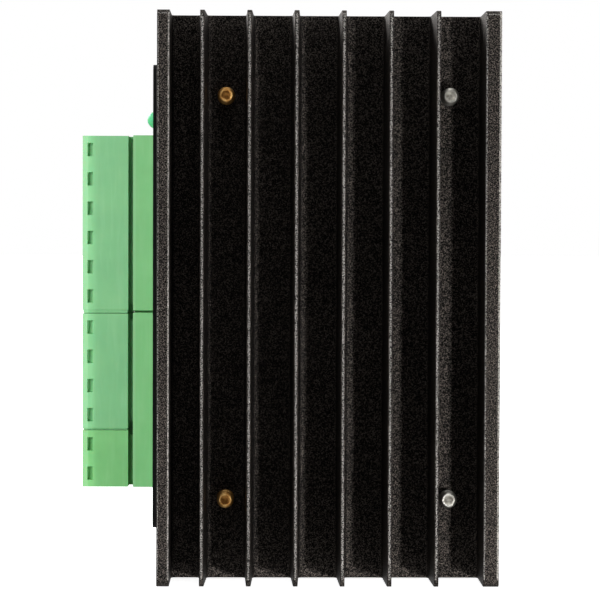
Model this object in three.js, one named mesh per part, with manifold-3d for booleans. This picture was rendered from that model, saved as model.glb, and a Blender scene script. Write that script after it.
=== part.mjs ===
// Stepper motor driver module: a finned aluminium heat sink, a circuit board on four hex standoffs, a moulded
// cover with raised side panels, and pluggable screw terminals along one long side.
//
// The parts are drawn in millimetres with +Z along the fins, +Y from the fin tips to the cover and +X away from
// the terminals, about the middle of the plane that the fin tips stand in. The whole is then set down with its
// lower end on z = 0 and the middle of its outline on the Z axis.

import * as THREE from "three";
import { mergeVertices } from "three/addons/utils/BufferGeometryUtils.js";
import Module from "manifold-3d";

const wasm = await Module();
wasm.setup();

// ---- Driving dimensions ------------------------------------------------------------------------------------

const SEAT = 0.05; // gap left between faces that rest on each other
const CUT = 1; // how far a cutting tool runs past the face it breaks through

// Heat sink extrusion
const SINK_LENGTH = 96;
const SINK_WIDTH = 57.25;
const FIN_HEIGHT = 10.5;
const BASE_THICKNESS = 3;
const FIN_PITCH = 7.85;
const FIN_TIP = 0.75;
const FIN_ROOT = 1.3;
const FIN_FILLET = 0.7;
const LEAST_CHANNEL = 3.5; // narrowest channel that is left beside the terminal-side wall
const WALL_TERMINAL_SIDE = 2.1;
const WALL_SWITCH_SIDE = 2.64;
const WALL_EDGE_RADIUS = 0.3;
const END_BEVEL = 0.6; // where the saw cut at each end is taken off the fin tips

// Circuit board and the standoffs that carry it
const BOARD_THICKNESS = 1.6;
const BOARD_FIT = 0.5; // board edge to the inside of the cover
const BOARD_PAST_HOLES = 3.7;
const HOLE_FROM_TERMINAL_SIDE = 11.35;
const HOLE_FROM_SWITCH_SIDE = 7.85;
const HOLE_FROM_END = 13.67;
const STANDOFF_LOWER = 3;
const STANDOFF_UPPER = 14.3;
const STANDOFF_FLATS = 5;
const THREAD_RADIUS = 1.45;
const THREAD_FIT = 0.1;
const STUD_REACH = 2.7; // how far a lower standoff's stud stands out into the fins
const STUD_CHAMFER = 0.55;
const STANDOFF_FLOOR = 0.3; // metal left under the blind bore of a lower standoff
const BORE_SPARE = 0.3; // depth of a blind bore past the end of what screws into it

// Moulded cover
const COVER_WALL = 1.6;
const COVER_EDGE = 1.6; // rounding along its front edges
const PANEL_PROUD = 1.2; // how far a side panel stands out of the cover's side
const PANEL_FROM_END = 8.2;
const PANEL_FROM_FRONT = 1.8;
const PANEL_LIP = 1.5; // how far a panel laps over the edge of the heat sink's base
const PANEL_LIP_FIT = 0.12;
const PANEL_CORNER = 1.5;
const WINDOW_FIT = 0.35;
const COVER_SCREW_LENGTH = 8;
const SCREW_HEAD_RADIUS = 2.8;
const SCREW_HEAD_HEIGHT = 1.8;

// Pluggable terminals
const PITCH = 5.08;
const HEADER_POLES = [6, 6];
const PLUGS = [
  { name: "plug_signal", header: 0, firstPole: 0, poles: 6 },
  { name: "plug_motor", header: 1, firstPole: 0, poles: 4 },
  { name: "plug_power", header: 1, firstPole: 4, poles: 2 },
];
const TERMINALS_Z = -2.7; // middle of the row of headers
const HEADER_GAP = 0.33;
const HEADER_DEPTH = 12;
const HEADER_HEIGHT = 8.6;
const HEADER_WALL = 1;
const HEADER_END_WALL = 0.75;
const HEADER_SOCKET = 8.8;
const HEADER_REACH = 3.75; // how far a header stands out of the cover's side panel
const PLUG_GAP = 0.75; // between a header's mouth and the shoulder of its plug
const PLUG_DEPTH = 7.92;
const PLUG_HEIGHT = 15;
const PLUG_DROP = 0.8; // how far a plug hangs below the face that the headers stand on
const PLUG_END_PLAY = 0.3;
const PLUG_TONGUE = 8;
const TONGUE_FIT = 0.25;
const PIN_HOLE = 1.9;
const TOE_HEIGHT = 9; // height of the wire-entry face, under the screw tower
const TOE_STEP = 1; // how far the screw tower is set back from the wire-entry face

// Wire clamps inside the plugs
const CLAMP_INSET = 3.9; // wire-entry face to the axis of a clamp screw
const CLAMP_THREAD_RADIUS = 1.25;
const CLAMP_THREAD_FIT = 0.15;
const CLAMP_HEAD_RADIUS = 1.9;
const CLAMP_HEAD_HEIGHT = 1.4;
const CLAMP_HEAD_FIT = 0.1;
const CLAMP_HEAD_SUNK = 1.1;
const CLAMP_SLOT = 0.7;
const CLAMP_NECK = 6.3; // underside of the head to the end of the thread
const CAGE_TRAVEL = 2;
const CAGE_DEPTH = 4.8;
const CAGE_WIDTH = 3.8;
const CAGE_WALL = 0.6;
const CAGE_ROOF = 1.6;
const CAGE_FLOOR = 0.8;
const CAGE_WINDOW = 4;
const CAGE_FIT = 0.25;
const PLUG_FLOOR = 1.6;
const WIRE_HOLE_WIDTH = 3.2;
const WIRE_HOLE_HEIGHT = 3.4;
const SLOT_FROM_FACE = 0.84;
const SLOT_WIDTH = 0.95;
const SLOT_LENGTH = 2.3;
const SLOT_DEPTH = 1.2;

// Power light
const LED_RADIUS = 1.5;
const LED_FLANGE_RADIUS = 1.85;
const LED_FLANGE = 1;
const LED_LENGTH = 5.2;
const LED_OUT = 1.35; // how far the lens stands out of the side panel
const LED_RISE = 1.95; // board face to the lens axis
const LED_FROM_HEADERS = 2.73;
const LED_HOLE_FIT = 0.2;

// Setting switches
const SWITCHES_ON = [false, true, false, false, true, true];
const SWITCH_PITCH = 2.54;
const SWITCH_END = 0.55;
const SWITCH_DEPTH = 4.2;
const SWITCH_HEIGHT = 6.8;
const SWITCH_LIFT = 0.4; // board face to the underside of the switch body
const SWITCH_Z = 0;
const SWITCH_SUNK = 1.2; // outer face of the side panel to the face of the switch
const SLIDER_WIDTH = 1.2;
const SLIDER_LENGTH = 1.3;
const SLIDER_TRAVEL = 1.8;
const SLIDER_FIT = 0.1;
const SLIDER_ROOT = 1.4;
const SLIDER_OUT = 0.8;

// Parts on the board and on the front
const CHIP = { length: 34, width: 16 };
const PAD = { length: 36, width: 18, thickness: 0.3 };
const CAPACITOR = { radius: 5, height: 12, spacing: 12.5, count: 2, fromEnd: 8 };
const OPTO = { length: 4.6, width: 6.5, height: 3.5, count: 3, spacing: 8.5, fromHeader: 3.5, z: 8 };
const LABEL = { margin: 3, thickness: 0.25, fromScrews: 1.5, corner: 2 };

const ROUND = 16; // sides of a round part
const HEX = 6;
const CURVE = 4; // steps along a rounded corner

// ---- Places that follow from them --------------------------------------------------------------------------

const half = (length) => length / 2;
const centred = (length) => [-half(length), half(length)];

const sinkHalf = half(SINK_WIDTH);
const sinkEnd = half(SINK_LENGTH);
const baseFront = FIN_HEIGHT + BASE_THICKNESS;
const boardBack = baseFront + STANDOFF_LOWER;
const boardFront = boardBack + BOARD_THICKNESS;
const coverInside = boardFront + STANDOFF_UPPER;
const coverFront = coverInside + COVER_WALL;
const coverBack = baseFront + SEAT;
const wallInside = sinkHalf - COVER_WALL;
const panelFace = sinkHalf + PANEL_PROUD;
const boardHalf = wallInside - BOARD_FIT;
const holeXs = [-sinkHalf + HOLE_FROM_TERMINAL_SIDE, sinkHalf - HOLE_FROM_SWITCH_SIDE];
const holeZ = sinkEnd - HOLE_FROM_END;
const holes = holeXs.flatMap((x) => [holeZ, -holeZ].map((z) => ({ x, z })));
const holesMiddle = half(holeXs[0] + holeXs[1]);
const boardEnd = holeZ + BOARD_PAST_HOLES;
const upperStud = STANDOFF_LOWER - STANDOFF_FLOOR - BORE_SPARE;

const headerMouth = -panelFace - HEADER_REACH;
const headerBack = headerMouth + HEADER_DEPTH;
const headerLength = (poles) => poles * PITCH;
const lengthOfHeaders = (list) => list.reduce((sum, poles) => sum + headerLength(poles) + HEADER_GAP, 0);
const headersLength = lengthOfHeaders(HEADER_POLES) - HEADER_GAP;
const headersTop = TERMINALS_Z + half(headersLength);
const headerTops = HEADER_POLES.map((_, i) => headersTop - lengthOfHeaders(HEADER_POLES.slice(0, i)));
const poleZ = (header, pole) => headerTops[header] - (pole + 0.5) * PITCH;
const socketMiddle = boardFront + SEAT + half(HEADER_HEIGHT);
const tongueHeight = HEADER_HEIGHT - 2 * HEADER_WALL - 2 * TONGUE_FIT;

const ledZ = headersTop + LED_FROM_HEADERS;
const ledY = boardFront + LED_RISE;
const switchFace = panelFace - SWITCH_SUNK;
const switchLength = SWITCHES_ON.length * SWITCH_PITCH + 2 * SWITCH_END;
const switchBottom = boardFront + SWITCH_LIFT;
const switchZ = (i) => SWITCH_Z + (half(SWITCHES_ON.length - 1) - i) * SWITCH_PITCH;
const sliderRun = SLIDER_LENGTH + SLIDER_TRAVEL;
const sliderBottom = switchBottom + half(SWITCH_HEIGHT - sliderRun);

// Heights in a plug, measured from its underside
const plugBottom = boardFront - PLUG_DROP;
const clampHeadUnder = PLUG_HEIGHT - CLAMP_HEAD_SUNK - CLAMP_HEAD_HEIGHT;
const cageHeight = CAGE_FLOOR + CAGE_WINDOW + CAGE_ROOF;
const cageBottom = PLUG_FLOOR + CAGE_FIT;
const chamberTop = cageBottom + cageHeight + CAGE_TRAVEL + CAGE_FIT;

// ---- Materials ---------------------------------------------------------------------------------------------

const finish = (color, roughness, metalness) => new THREE.MeshStandardMaterial({ color, roughness, metalness });
const blackAnodised = finish(0x161616, 0.55, 0.6);
const blackPlastic = finish(0x1a1a1b, 0.5, 0);
const labelFilm = finish(0x26282b, 0.4, 0);
const boardGreen = finish(0x1d5b34, 0.5, 0);
const brass = finish(0xb5813a, 0.3, 1);
const nickel = finish(0xc4c2ba, 0.25, 1);
const zincSteel = finish(0xb9bbbd, 0.3, 1);
const terminalGreen = finish(0x5fb86a, 0.45, 0);
const chipBlack = finish(0x1b1b1d, 0.6, 0);
const padGrey = finish(0x8b8f93, 0.9, 0);
const lensGreen = finish(0x2fbf62, 0.15, 0);
const switchRed = finish(0xb3261e, 0.4, 0);
const sliderWhite = finish(0xece9e0, 0.5, 0);
const sleeveBlack = finish(0x202226, 0.35, 0);

// ---- Solids ------------------------------------------------------------------------------------------------

function solidOf(geometry) {
  const bare = geometry.index ? geometry.toNonIndexed() : geometry.clone();
  bare.deleteAttribute("normal");
  bare.deleteAttribute("uv");
  const merged = mergeVertices(bare);
  const mesh = { numProp: 3, vertProperties: merged.attributes.position.array };
  mesh.triVerts = new Uint32Array(merged.index.array);
  return new wasm.Manifold(new wasm.Mesh(mesh));
}

function geometryOf(solid) {
  const mesh = solid.getMesh();
  return new THREE.BufferGeometry()
    .setAttribute("position", new THREE.BufferAttribute(new Float32Array(mesh.vertProperties), 3))
    .setIndex(new THREE.BufferAttribute(new Uint32Array(mesh.triVerts), 1));
}

const join = (...solids) => solids.reduce((a, b) => a.add(b));
const cut = (solid, ...tools) => tools.reduce((a, b) => a.subtract(b), solid);

function block([x0, x1], [y0, y1], [z0, z1]) {
  return solidOf(
    new THREE.BoxGeometry(x1 - x0, y1 - y0, z1 - z0).translate((x0 + x1) / 2, (y0 + y1) / 2, (z0 + z1) / 2),
  );
}

// A round bar along Y, or along X, from a to b.
function barY(radius, [a, b], x = 0, z = 0, sides = ROUND) {
  return solidOf(new THREE.CylinderGeometry(radius, radius, b - a, sides).translate(x, (a + b) / 2, z));
}

function barX(radius, [a, b], y = 0, z = 0, sides = ROUND) {
  const bar = new THREE.CylinderGeometry(radius, radius, b - a, sides).rotateZ(Math.PI / 2);
  return solidOf(bar.translate((a + b) / 2, y, z));
}

// A turned body about Y, from [radius, y] points that start and end on the axis.
function turned(points, sides = ROUND) {
  return solidOf(new THREE.LatheGeometry(points.map(([r, y]) => new THREE.Vector2(r, y)), sides));
}

const extruded = (outline, depth) =>
  new THREE.ExtrudeGeometry(outline, { depth, bevelEnabled: false, curveSegments: CURVE });

// An outline in X and Y, extruded along Z about the middle.
function prism(outline, length) {
  return solidOf(extruded(outline, length).translate(0, 0, -half(length)));
}

// An outline in Z and Y, extruded along X from a to b. It has to look the same from both of its sides.
function plateX(outline, [a, b]) {
  return solidOf(extruded(outline, b - a).rotateY(Math.PI / 2).translate(a, 0, 0));
}

// An outline in X and Z, extruded along Y from -thickness to 0. It has to look the same upside down.
function film(outline, thickness) {
  return solidOf(extruded(outline, thickness).rotateX(Math.PI / 2));
}

function polygon(points) {
  return new THREE.Shape(points.map(([x, y]) => new THREE.Vector2(x, y)));
}

// A rectangle with rounded corners; a corner's radius is 0 for a square one.
function rounded([x0, x1], [y0, y1], backRadius, frontRadius) {
  const shape = new THREE.Shape();
  shape.moveTo(x0 + backRadius, y0);
  shape.lineTo(x1 - backRadius, y0);
  if (backRadius > 0) shape.quadraticCurveTo(x1, y0, x1, y0 + backRadius);
  shape.lineTo(x1, y1 - frontRadius);
  if (frontRadius > 0) shape.quadraticCurveTo(x1, y1, x1 - frontRadius, y1);
  shape.lineTo(x0 + frontRadius, y1);
  if (frontRadius > 0) shape.quadraticCurveTo(x0, y1, x0, y1 - frontRadius);
  shape.lineTo(x0, y0 + backRadius);
  if (backRadius > 0) shape.quadraticCurveTo(x0, y0, x0 + backRadius, y0);
  return shape;
}

function piece(name, solid, material, parent, [x, y, z] = [0, 0, 0]) {
  const mesh = new THREE.Mesh(geometryOf(solid), material);
  mesh.name = name;
  mesh.position.set(x, y, z);
  parent.add(mesh);
  return mesh;
}

// ---- Heat sink ---------------------------------------------------------------------------------------------

// Middles of the thin fins, stepped off from the switch-side wall.
function finMiddles() {
  const start = sinkHalf - WALL_SWITCH_SIDE;
  const end = -sinkHalf + WALL_TERMINAL_SIDE + LEAST_CHANNEL + half(FIN_ROOT);
  const middles = [];
  for (let x = start - FIN_PITCH; x >= end; x -= FIN_PITCH) middles.unshift(x);
  return middles;
}

function sinkOutline() {
  const edge = WALL_EDGE_RADIUS;
  const outline = new THREE.Shape();
  outline.moveTo(-sinkHalf, baseFront);
  outline.lineTo(-sinkHalf, edge);
  outline.quadraticCurveTo(-sinkHalf, 0, -sinkHalf + edge, 0);
  let inner = -sinkHalf + WALL_TERMINAL_SIDE;
  outline.lineTo(inner - edge, 0);
  outline.quadraticCurveTo(inner, 0, inner, edge);
  outline.lineTo(inner, FIN_HEIGHT - FIN_FILLET);
  outline.quadraticCurveTo(inner, FIN_HEIGHT, inner + FIN_FILLET, FIN_HEIGHT);
  const tipEdge = FIN_TIP / 5;
  for (const x of finMiddles()) {
    const [tip, root] = [half(FIN_TIP), half(FIN_ROOT)];
    outline.lineTo(x - root - FIN_FILLET, FIN_HEIGHT);
    outline.quadraticCurveTo(x - root, FIN_HEIGHT, x - root, FIN_HEIGHT - FIN_FILLET);
    outline.lineTo(x - tip, tipEdge);
    outline.lineTo(x - tip + tipEdge, 0);
    outline.lineTo(x + tip - tipEdge, 0);
    outline.lineTo(x + tip, tipEdge);
    outline.lineTo(x + root, FIN_HEIGHT - FIN_FILLET);
    outline.quadraticCurveTo(x + root, FIN_HEIGHT, x + root + FIN_FILLET, FIN_HEIGHT);
  }
  inner = sinkHalf - WALL_SWITCH_SIDE;
  outline.lineTo(inner - FIN_FILLET, FIN_HEIGHT);
  outline.quadraticCurveTo(inner, FIN_HEIGHT, inner, FIN_HEIGHT - FIN_FILLET);
  outline.lineTo(inner, edge);
  outline.quadraticCurveTo(inner, 0, inner + edge, 0);
  outline.lineTo(sinkHalf - edge, 0);
  outline.quadraticCurveTo(sinkHalf, 0, sinkHalf, edge);
  outline.lineTo(sinkHalf, baseFront);
  outline.closePath();
  return outline;
}

function heatSink() {
  const reach = [FIN_HEIGHT - STUD_REACH - CUT, baseFront + CUT];
  const bores = holes.map(({ x, z }) => barY(THREAD_RADIUS + THREAD_FIT, reach, x, z));
  const across = [-sinkHalf - CUT, sinkHalf + CUT];
  const deep = END_BEVEL + CUT;
  const bevels = [-1, 1].map((end) => {
    const corner = [
      [end * (sinkEnd + CUT), -CUT],
      [end * (sinkEnd + CUT), deep],
      [end * (sinkEnd - deep), -CUT],
    ];
    return plateX(polygon(corner.map(([z, y]) => [-z, y])), across);
  });
  return cut(prism(sinkOutline(), SINK_LENGTH), ...bores, ...bevels);
}

// ---- Standoffs and screws ----------------------------------------------------------------------------------

const hexBar = ([a, b]) => barY(STANDOFF_FLATS / Math.sqrt(3), [a, b], 0, 0, HEX);
const studPoints = (end, top) => [
  [0, end],
  [THREAD_RADIUS - STUD_CHAMFER, end],
  [THREAD_RADIUS, end + STUD_CHAMFER],
  [THREAD_RADIUS, top],
  [0, top],
];

// Both standoffs are drawn with the foot of their hexagon at y = 0.
function standoff(height, stud, bore) {
  const hex = hexBar([SEAT, height - SEAT]);
  const screwedIn = turned(studPoints(-stud, CUT));
  const blind = barY(THREAD_RADIUS + THREAD_FIT, [height - bore - BORE_SPARE, height + CUT]);
  return cut(join(hex, screwedIn), blind);
}

const lowerStandoff = () => standoff(STANDOFF_LOWER, BASE_THICKNESS + STUD_REACH, upperStud);
const upperStandoff = () =>
  standoff(STANDOFF_UPPER, BOARD_THICKNESS + upperStud, COVER_SCREW_LENGTH - COVER_WALL);

// A pan-head screw with a cross recess, its head resting on y = 0.
function coverScrew() {
  const headTop = SCREW_HEAD_HEIGHT;
  const body = turned([
    [0, -COVER_SCREW_LENGTH],
    [THREAD_RADIUS - STUD_CHAMFER / 2, -COVER_SCREW_LENGTH],
    [THREAD_RADIUS, -COVER_SCREW_LENGTH + STUD_CHAMFER / 2],
    [THREAD_RADIUS, SEAT],
    [SCREW_HEAD_RADIUS, SEAT],
    [SCREW_HEAD_RADIUS, headTop * 0.5],
    [SCREW_HEAD_RADIUS * 0.86, headTop * 0.85],
    [SCREW_HEAD_RADIUS * 0.55, headTop],
    [0, headTop],
  ]);
  const [arm, slot, depth] = [SCREW_HEAD_RADIUS * 0.58, SCREW_HEAD_RADIUS * 0.16, SCREW_HEAD_HEIGHT * 0.6];
  const level = [headTop - depth, headTop + CUT];
  return cut(body, block([-arm, arm], level, [-slot, slot]), block([-slot, slot], level, [-arm, arm]));
}

// ---- Circuit board -----------------------------------------------------------------------------------------

function circuitBoard() {
  const board = block([-boardHalf, boardHalf], [boardBack, boardFront], [-boardEnd, boardEnd]);
  const level = [boardBack - CUT, boardFront + CUT];
  return cut(board, ...holes.map(({ x, z }) => barY(THREAD_RADIUS + THREAD_FIT, level, x, z)));
}

// ---- Cover -------------------------------------------------------------------------------------------------

const sides = [-1, 1];
const sideSpan = (side, a, b) => (side < 0 ? [-b, -a] : [a, b]);

// A raised panel on one side, with a lip that laps over the edge of the heat sink's base.
function sidePanel(side) {
  const end = sinkEnd - PANEL_FROM_END;
  const height = [baseFront - PANEL_LIP, coverFront - PANEL_FROM_FRONT];
  const outline = rounded([-end, end], height, PANEL_CORNER, PANEL_CORNER);
  const plate = plateX(outline, sideSpan(side, half(wallInside + sinkHalf), panelFace));
  const besideBase = sideSpan(side, wallInside, sinkHalf + PANEL_LIP_FIT);
  return cut(plate, block(besideBase, [height[0] - CUT, coverBack], [-end - CUT, end + CUT]));
}

function cover() {
  const box = prism(rounded(centred(SINK_WIDTH), [coverBack, coverFront], 0, COVER_EDGE), SINK_LENGTH);
  const inside = centred(SINK_LENGTH - 2 * COVER_WALL);
  const hollow = block([-wallInside, wallInside], [coverBack - CUT, coverInside], inside);
  const shell = join(cut(box, hollow), ...sides.map(sidePanel));

  const throughSide = (side) => sideSpan(side, wallInside - CUT, panelFace + CUT);
  const headerWindow = block(
    throughSide(-1),
    [boardFront - WINDOW_FIT, boardFront + HEADER_HEIGHT + WINDOW_FIT],
    [headersTop - headersLength - WINDOW_FIT, headersTop + WINDOW_FIT],
  );
  const ledHole = barX(LED_RADIUS + LED_HOLE_FIT, throughSide(-1), ledY, ledZ);
  const switchReach = half(switchLength) + WINDOW_FIT;
  const switchWindow = block(
    throughSide(1),
    [switchBottom - WINDOW_FIT, switchBottom + SWITCH_HEIGHT + WINDOW_FIT],
    [SWITCH_Z - switchReach, SWITCH_Z + switchReach],
  );
  const screwHoles = holes.map(({ x, z }) =>
    barY(THREAD_RADIUS + 2 * THREAD_FIT, [coverInside - CUT, coverFront + CUT], x, z),
  );
  return cut(shell, headerWindow, ledHole, switchWindow, ...screwHoles);
}

function frontLabel() {
  const wide = sinkHalf - LABEL.margin;
  const tall = holeZ - SCREW_HEAD_RADIUS - LABEL.fromScrews;
  return film(rounded([-wide, wide], [-tall, tall], LABEL.corner, LABEL.corner), LABEL.thickness);
}

// ---- Terminal headers and plugs ----------------------------------------------------------------------------

// A header with its top end at z = 0. Its socket opens towards -X.
function header(poles) {
  const length = headerLength(poles);
  const level = [boardFront + SEAT, boardFront + SEAT + HEADER_HEIGHT];
  const body = block([headerMouth, headerBack], level, [-length, 0]);
  const socket = block(
    [headerMouth - CUT, headerMouth + HEADER_SOCKET],
    [level[0] + HEADER_WALL, level[1] - HEADER_WALL],
    [-length + HEADER_END_WALL, -HEADER_END_WALL],
  );
  return cut(body, socket);
}

// The outline of a plug, with its wire-entry face at x = 0 and its underside at y = 0.
function plugOutline() {
  return polygon([
    [0, 0],
    [PLUG_DEPTH, 0],
    [PLUG_DEPTH, PLUG_HEIGHT],
    [TOE_STEP, PLUG_HEIGHT],
    [TOE_STEP, TOE_HEIGHT + TOE_STEP],
    [0, TOE_HEIGHT],
  ]);
}

const plugLength = (poles) => poles * PITCH - PLUG_END_PLAY;
const poleOffset = (poles, pole) => (half(poles - 1) - pole) * PITCH;

function plug(poles) {
  const tongueMiddle = socketMiddle - plugBottom;
  const tongueHalf = half(plugLength(poles)) - HEADER_END_WALL - TONGUE_FIT;
  const tongueEnd = PLUG_DEPTH + PLUG_GAP + PLUG_TONGUE;
  const around = (middle, size) => [middle - half(size), middle + half(size)];
  const tongueLevel = around(tongueMiddle, tongueHeight);
  const tongue = block([PLUG_DEPTH - CUT, tongueEnd], tongueLevel, [-tongueHalf, tongueHalf]);
  const chamberX = around(CLAMP_INSET, CAGE_DEPTH + 2 * CAGE_FIT);
  const wireLevel = around(cageBottom + CAGE_FLOOR + half(WIRE_HOLE_HEIGHT), WIRE_HOLE_HEIGHT);
  const slotX = [SLOT_FROM_FACE, SLOT_FROM_FACE + SLOT_WIDTH];
  const tools = [];
  for (let pole = 0; pole < poles; pole += 1) {
    const z = poleOffset(poles, pole);
    tools.push(
      block(chamberX, [PLUG_FLOOR, chamberTop], around(z, CAGE_WIDTH + 2 * CAGE_FIT)),
      block([-CUT, CLAMP_INSET], wireLevel, around(z, WIRE_HOLE_WIDTH)),
      block([CLAMP_INSET, tongueEnd + CUT], around(tongueMiddle, PIN_HOLE), around(z, PIN_HOLE)),
      block(slotX, [-CUT, SLOT_DEPTH], around(z, SLOT_LENGTH)),
      barY(CLAMP_THREAD_RADIUS + CLAMP_THREAD_FIT, [chamberTop - CUT, PLUG_HEIGHT], CLAMP_INSET, z),
      barY(CLAMP_HEAD_RADIUS + CLAMP_HEAD_FIT, [clampHeadUnder - SEAT, PLUG_HEIGHT + CUT], CLAMP_INSET, z),
    );
  }
  return cut(join(prism(plugOutline(), plugLength(poles)), tongue), ...tools);
}

// A slotted clamp screw, with the underside of its head at y = 0.
function clampScrew() {
  const body = turned([
    [0, -CLAMP_NECK],
    [CLAMP_THREAD_RADIUS, -CLAMP_NECK],
    [CLAMP_THREAD_RADIUS, 0],
    [CLAMP_HEAD_RADIUS, 0],
    [CLAMP_HEAD_RADIUS, CLAMP_HEAD_HEIGHT],
    [0, CLAMP_HEAD_HEIGHT],
  ]);
  const across = centred(2 * (CLAMP_HEAD_RADIUS + CUT));
  return cut(body, block(across, [half(CLAMP_HEAD_HEIGHT), CLAMP_HEAD_HEIGHT + CUT], centred(CLAMP_SLOT)));
}

// A rising wire cage with its floor at y = 0. Its window runs through along X, and its roof takes the screw.
function wireCage() {
  const windowTop = CAGE_FLOOR + CAGE_WINDOW;
  return cut(
    block(centred(CAGE_DEPTH), [0, cageHeight], centred(CAGE_WIDTH)),
    block(centred(CAGE_DEPTH + 2 * CUT), [CAGE_FLOOR, windowTop], centred(CAGE_WIDTH - 2 * CAGE_WALL)),
    barY(CLAMP_THREAD_RADIUS + CLAMP_THREAD_FIT, [windowTop - CUT, cageHeight + CUT]),
  );
}

// ---- Power light and setting switches ----------------------------------------------------------------------

// A round lamp along -X: domed lens, barrel and flange, with the tip of the dome at x = 0.
function powerLed() {
  const points = [[0, -LED_LENGTH]];
  points.push([LED_FLANGE_RADIUS, -LED_LENGTH], [LED_FLANGE_RADIUS, -LED_LENGTH + LED_FLANGE]);
  points.push([LED_RADIUS, -LED_LENGTH + LED_FLANGE]);
  const steps = 5;
  for (let i = 0; i <= steps; i += 1) {
    const angle = ((i / steps) * Math.PI) / 2;
    const radius = i === steps ? 0 : LED_RADIUS * Math.cos(angle);
    points.push([radius, LED_RADIUS * (Math.sin(angle) - 1)]);
  }
  const lens = new THREE.LatheGeometry(points.map(([r, y]) => new THREE.Vector2(r, y)), ROUND);
  return solidOf(lens.rotateZ(Math.PI / 2)); // its tip, which was up, now looks along -X
}

function switchHousing() {
  const body = block(
    [switchFace - SWITCH_DEPTH, switchFace],
    [switchBottom, switchBottom + SWITCH_HEIGHT],
    [SWITCH_Z - half(switchLength), SWITCH_Z + half(switchLength)],
  );
  const slotX = [switchFace - SLIDER_ROOT - SLIDER_FIT, switchFace + CUT];
  const slotY = [sliderBottom - SLIDER_FIT, sliderBottom + sliderRun + SLIDER_FIT];
  const across = half(SLIDER_WIDTH) + SLIDER_FIT;
  const slots = SWITCHES_ON.map((_, i) => block(slotX, slotY, [switchZ(i) - across, switchZ(i) + across]));
  return cut(body, ...slots);
}

const slider = () => block([-SLIDER_ROOT, SLIDER_OUT], [0, SLIDER_LENGTH], centred(SLIDER_WIDTH));

// ---- Parts on the board ------------------------------------------------------------------------------------

function capacitor() {
  const { radius, height } = CAPACITOR;
  const bead = radius * 0.08;
  return turned([
    [0, 0],
    [radius, 0],
    [radius, height * 0.12],
    [radius - bead, height * 0.16],
    [radius, height * 0.2],
    [radius, height - bead],
    [radius - bead, height],
    [0, height],
  ]);
}

const optocoupler = () => block([0, OPTO.width], [0, OPTO.height], centred(OPTO.length));

// ---- Assembly ----------------------------------------------------------------------------------------------

const module = new THREE.Group();

piece("heat_sink", heatSink(), blackAnodised, module);
piece("circuit_board", circuitBoard(), boardGreen, module);
piece("front_cover", cover(), blackPlastic, module);
piece("front_label", frontLabel(), labelFilm, module, [0, coverFront + SEAT + LABEL.thickness, 0]);

holes.forEach(({ x, z }, i) => {
  const metal = x < 0 ? brass : nickel;
  piece(`standoff_lower_${i + 1}`, lowerStandoff(), metal, module, [x, baseFront, z]);
  piece(`standoff_upper_${i + 1}`, upperStandoff(), metal, module, [x, boardFront, z]);
  piece(`cover_screw_${i + 1}`, coverScrew(), zincSteel, module, [x, coverFront, z]);
});

// The chip on the back of the board fills what the pad leaves of the space over the heat sink's base.
const padFront = baseFront + SEAT + PAD.thickness;
const chipLevel = [0, boardBack - padFront - 2 * SEAT];
const pad = block(centred(PAD.width), [0, PAD.thickness], centred(PAD.length));
const chip = block(centred(CHIP.width), chipLevel, centred(CHIP.length));
piece("thermal_pad", pad, padGrey, module, [holesMiddle, baseFront + SEAT, 0]);
piece("driver_chip", chip, chipBlack, module, [holesMiddle, padFront + SEAT, 0]);

for (let i = 0; i < CAPACITOR.count; i += 1) {
  const x = holesMiddle + (i - half(CAPACITOR.count - 1)) * CAPACITOR.spacing;
  const at = [x, boardFront + SEAT, -boardEnd + CAPACITOR.fromEnd];
  piece(`capacitor_${i + 1}`, capacitor(), sleeveBlack, module, at);
}
for (let i = 0; i < OPTO.count; i += 1) {
  const z = OPTO.z - (i - half(OPTO.count - 1)) * OPTO.spacing;
  const at = [headerBack + OPTO.fromHeader, boardFront + SEAT, z];
  piece(`optocoupler_${i + 1}`, optocoupler(), chipBlack, module, at);
}

HEADER_POLES.forEach((poles, i) => {
  piece(`header_${i + 1}`, header(poles), terminalGreen, module, [0, 0, headerTops[i]]);
});

let clamps = 0;
for (const { name, header: i, firstPole, poles } of PLUGS) {
  const group = new THREE.Group();
  const middle = half(poleZ(i, firstPole) + poleZ(i, firstPole + poles - 1));
  group.position.set(headerMouth - PLUG_GAP - PLUG_DEPTH, plugBottom, middle);
  module.add(group);
  piece(name, plug(poles), terminalGreen, group);
  for (let pole = 0; pole < poles; pole += 1) {
    clamps += 1;
    const z = poleOffset(poles, pole);
    piece(`clamp_screw_${clamps}`, clampScrew(), zincSteel, group, [CLAMP_INSET, clampHeadUnder, z]);
    piece(`wire_cage_${clamps}`, wireCage(), zincSteel, group, [CLAMP_INSET, cageBottom, z]);
  }
}

piece("power_led", powerLed(), lensGreen, module, [-panelFace - LED_OUT, ledY, ledZ]);
piece("switch_housing", switchHousing(), switchRed, module);
SWITCHES_ON.forEach((on, i) => {
  const y = sliderBottom + (on ? SLIDER_TRAVEL : 0);
  piece(`switch_slider_${i + 1}`, slider(), sliderWhite, module, [switchFace, y, switchZ(i)]);
});

// Set the module down on its lower end, over the middle of its outline.
const outline = new THREE.Box3().setFromObject(module);
const middle = outline.getCenter(new THREE.Vector3());
module.position.set(-middle.x, -middle.y, -outline.min.z);

export default module;
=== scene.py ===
"""The looks of a stepper motor driver: black anodised heat sink, moulded cover and green plug-in terminals.

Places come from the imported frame. Lengths are written in millimetres and become metres at the mesh.
"""

import math
from functools import partial

import bmesh
import bpy
from mathutils import Matrix, Vector


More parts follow.
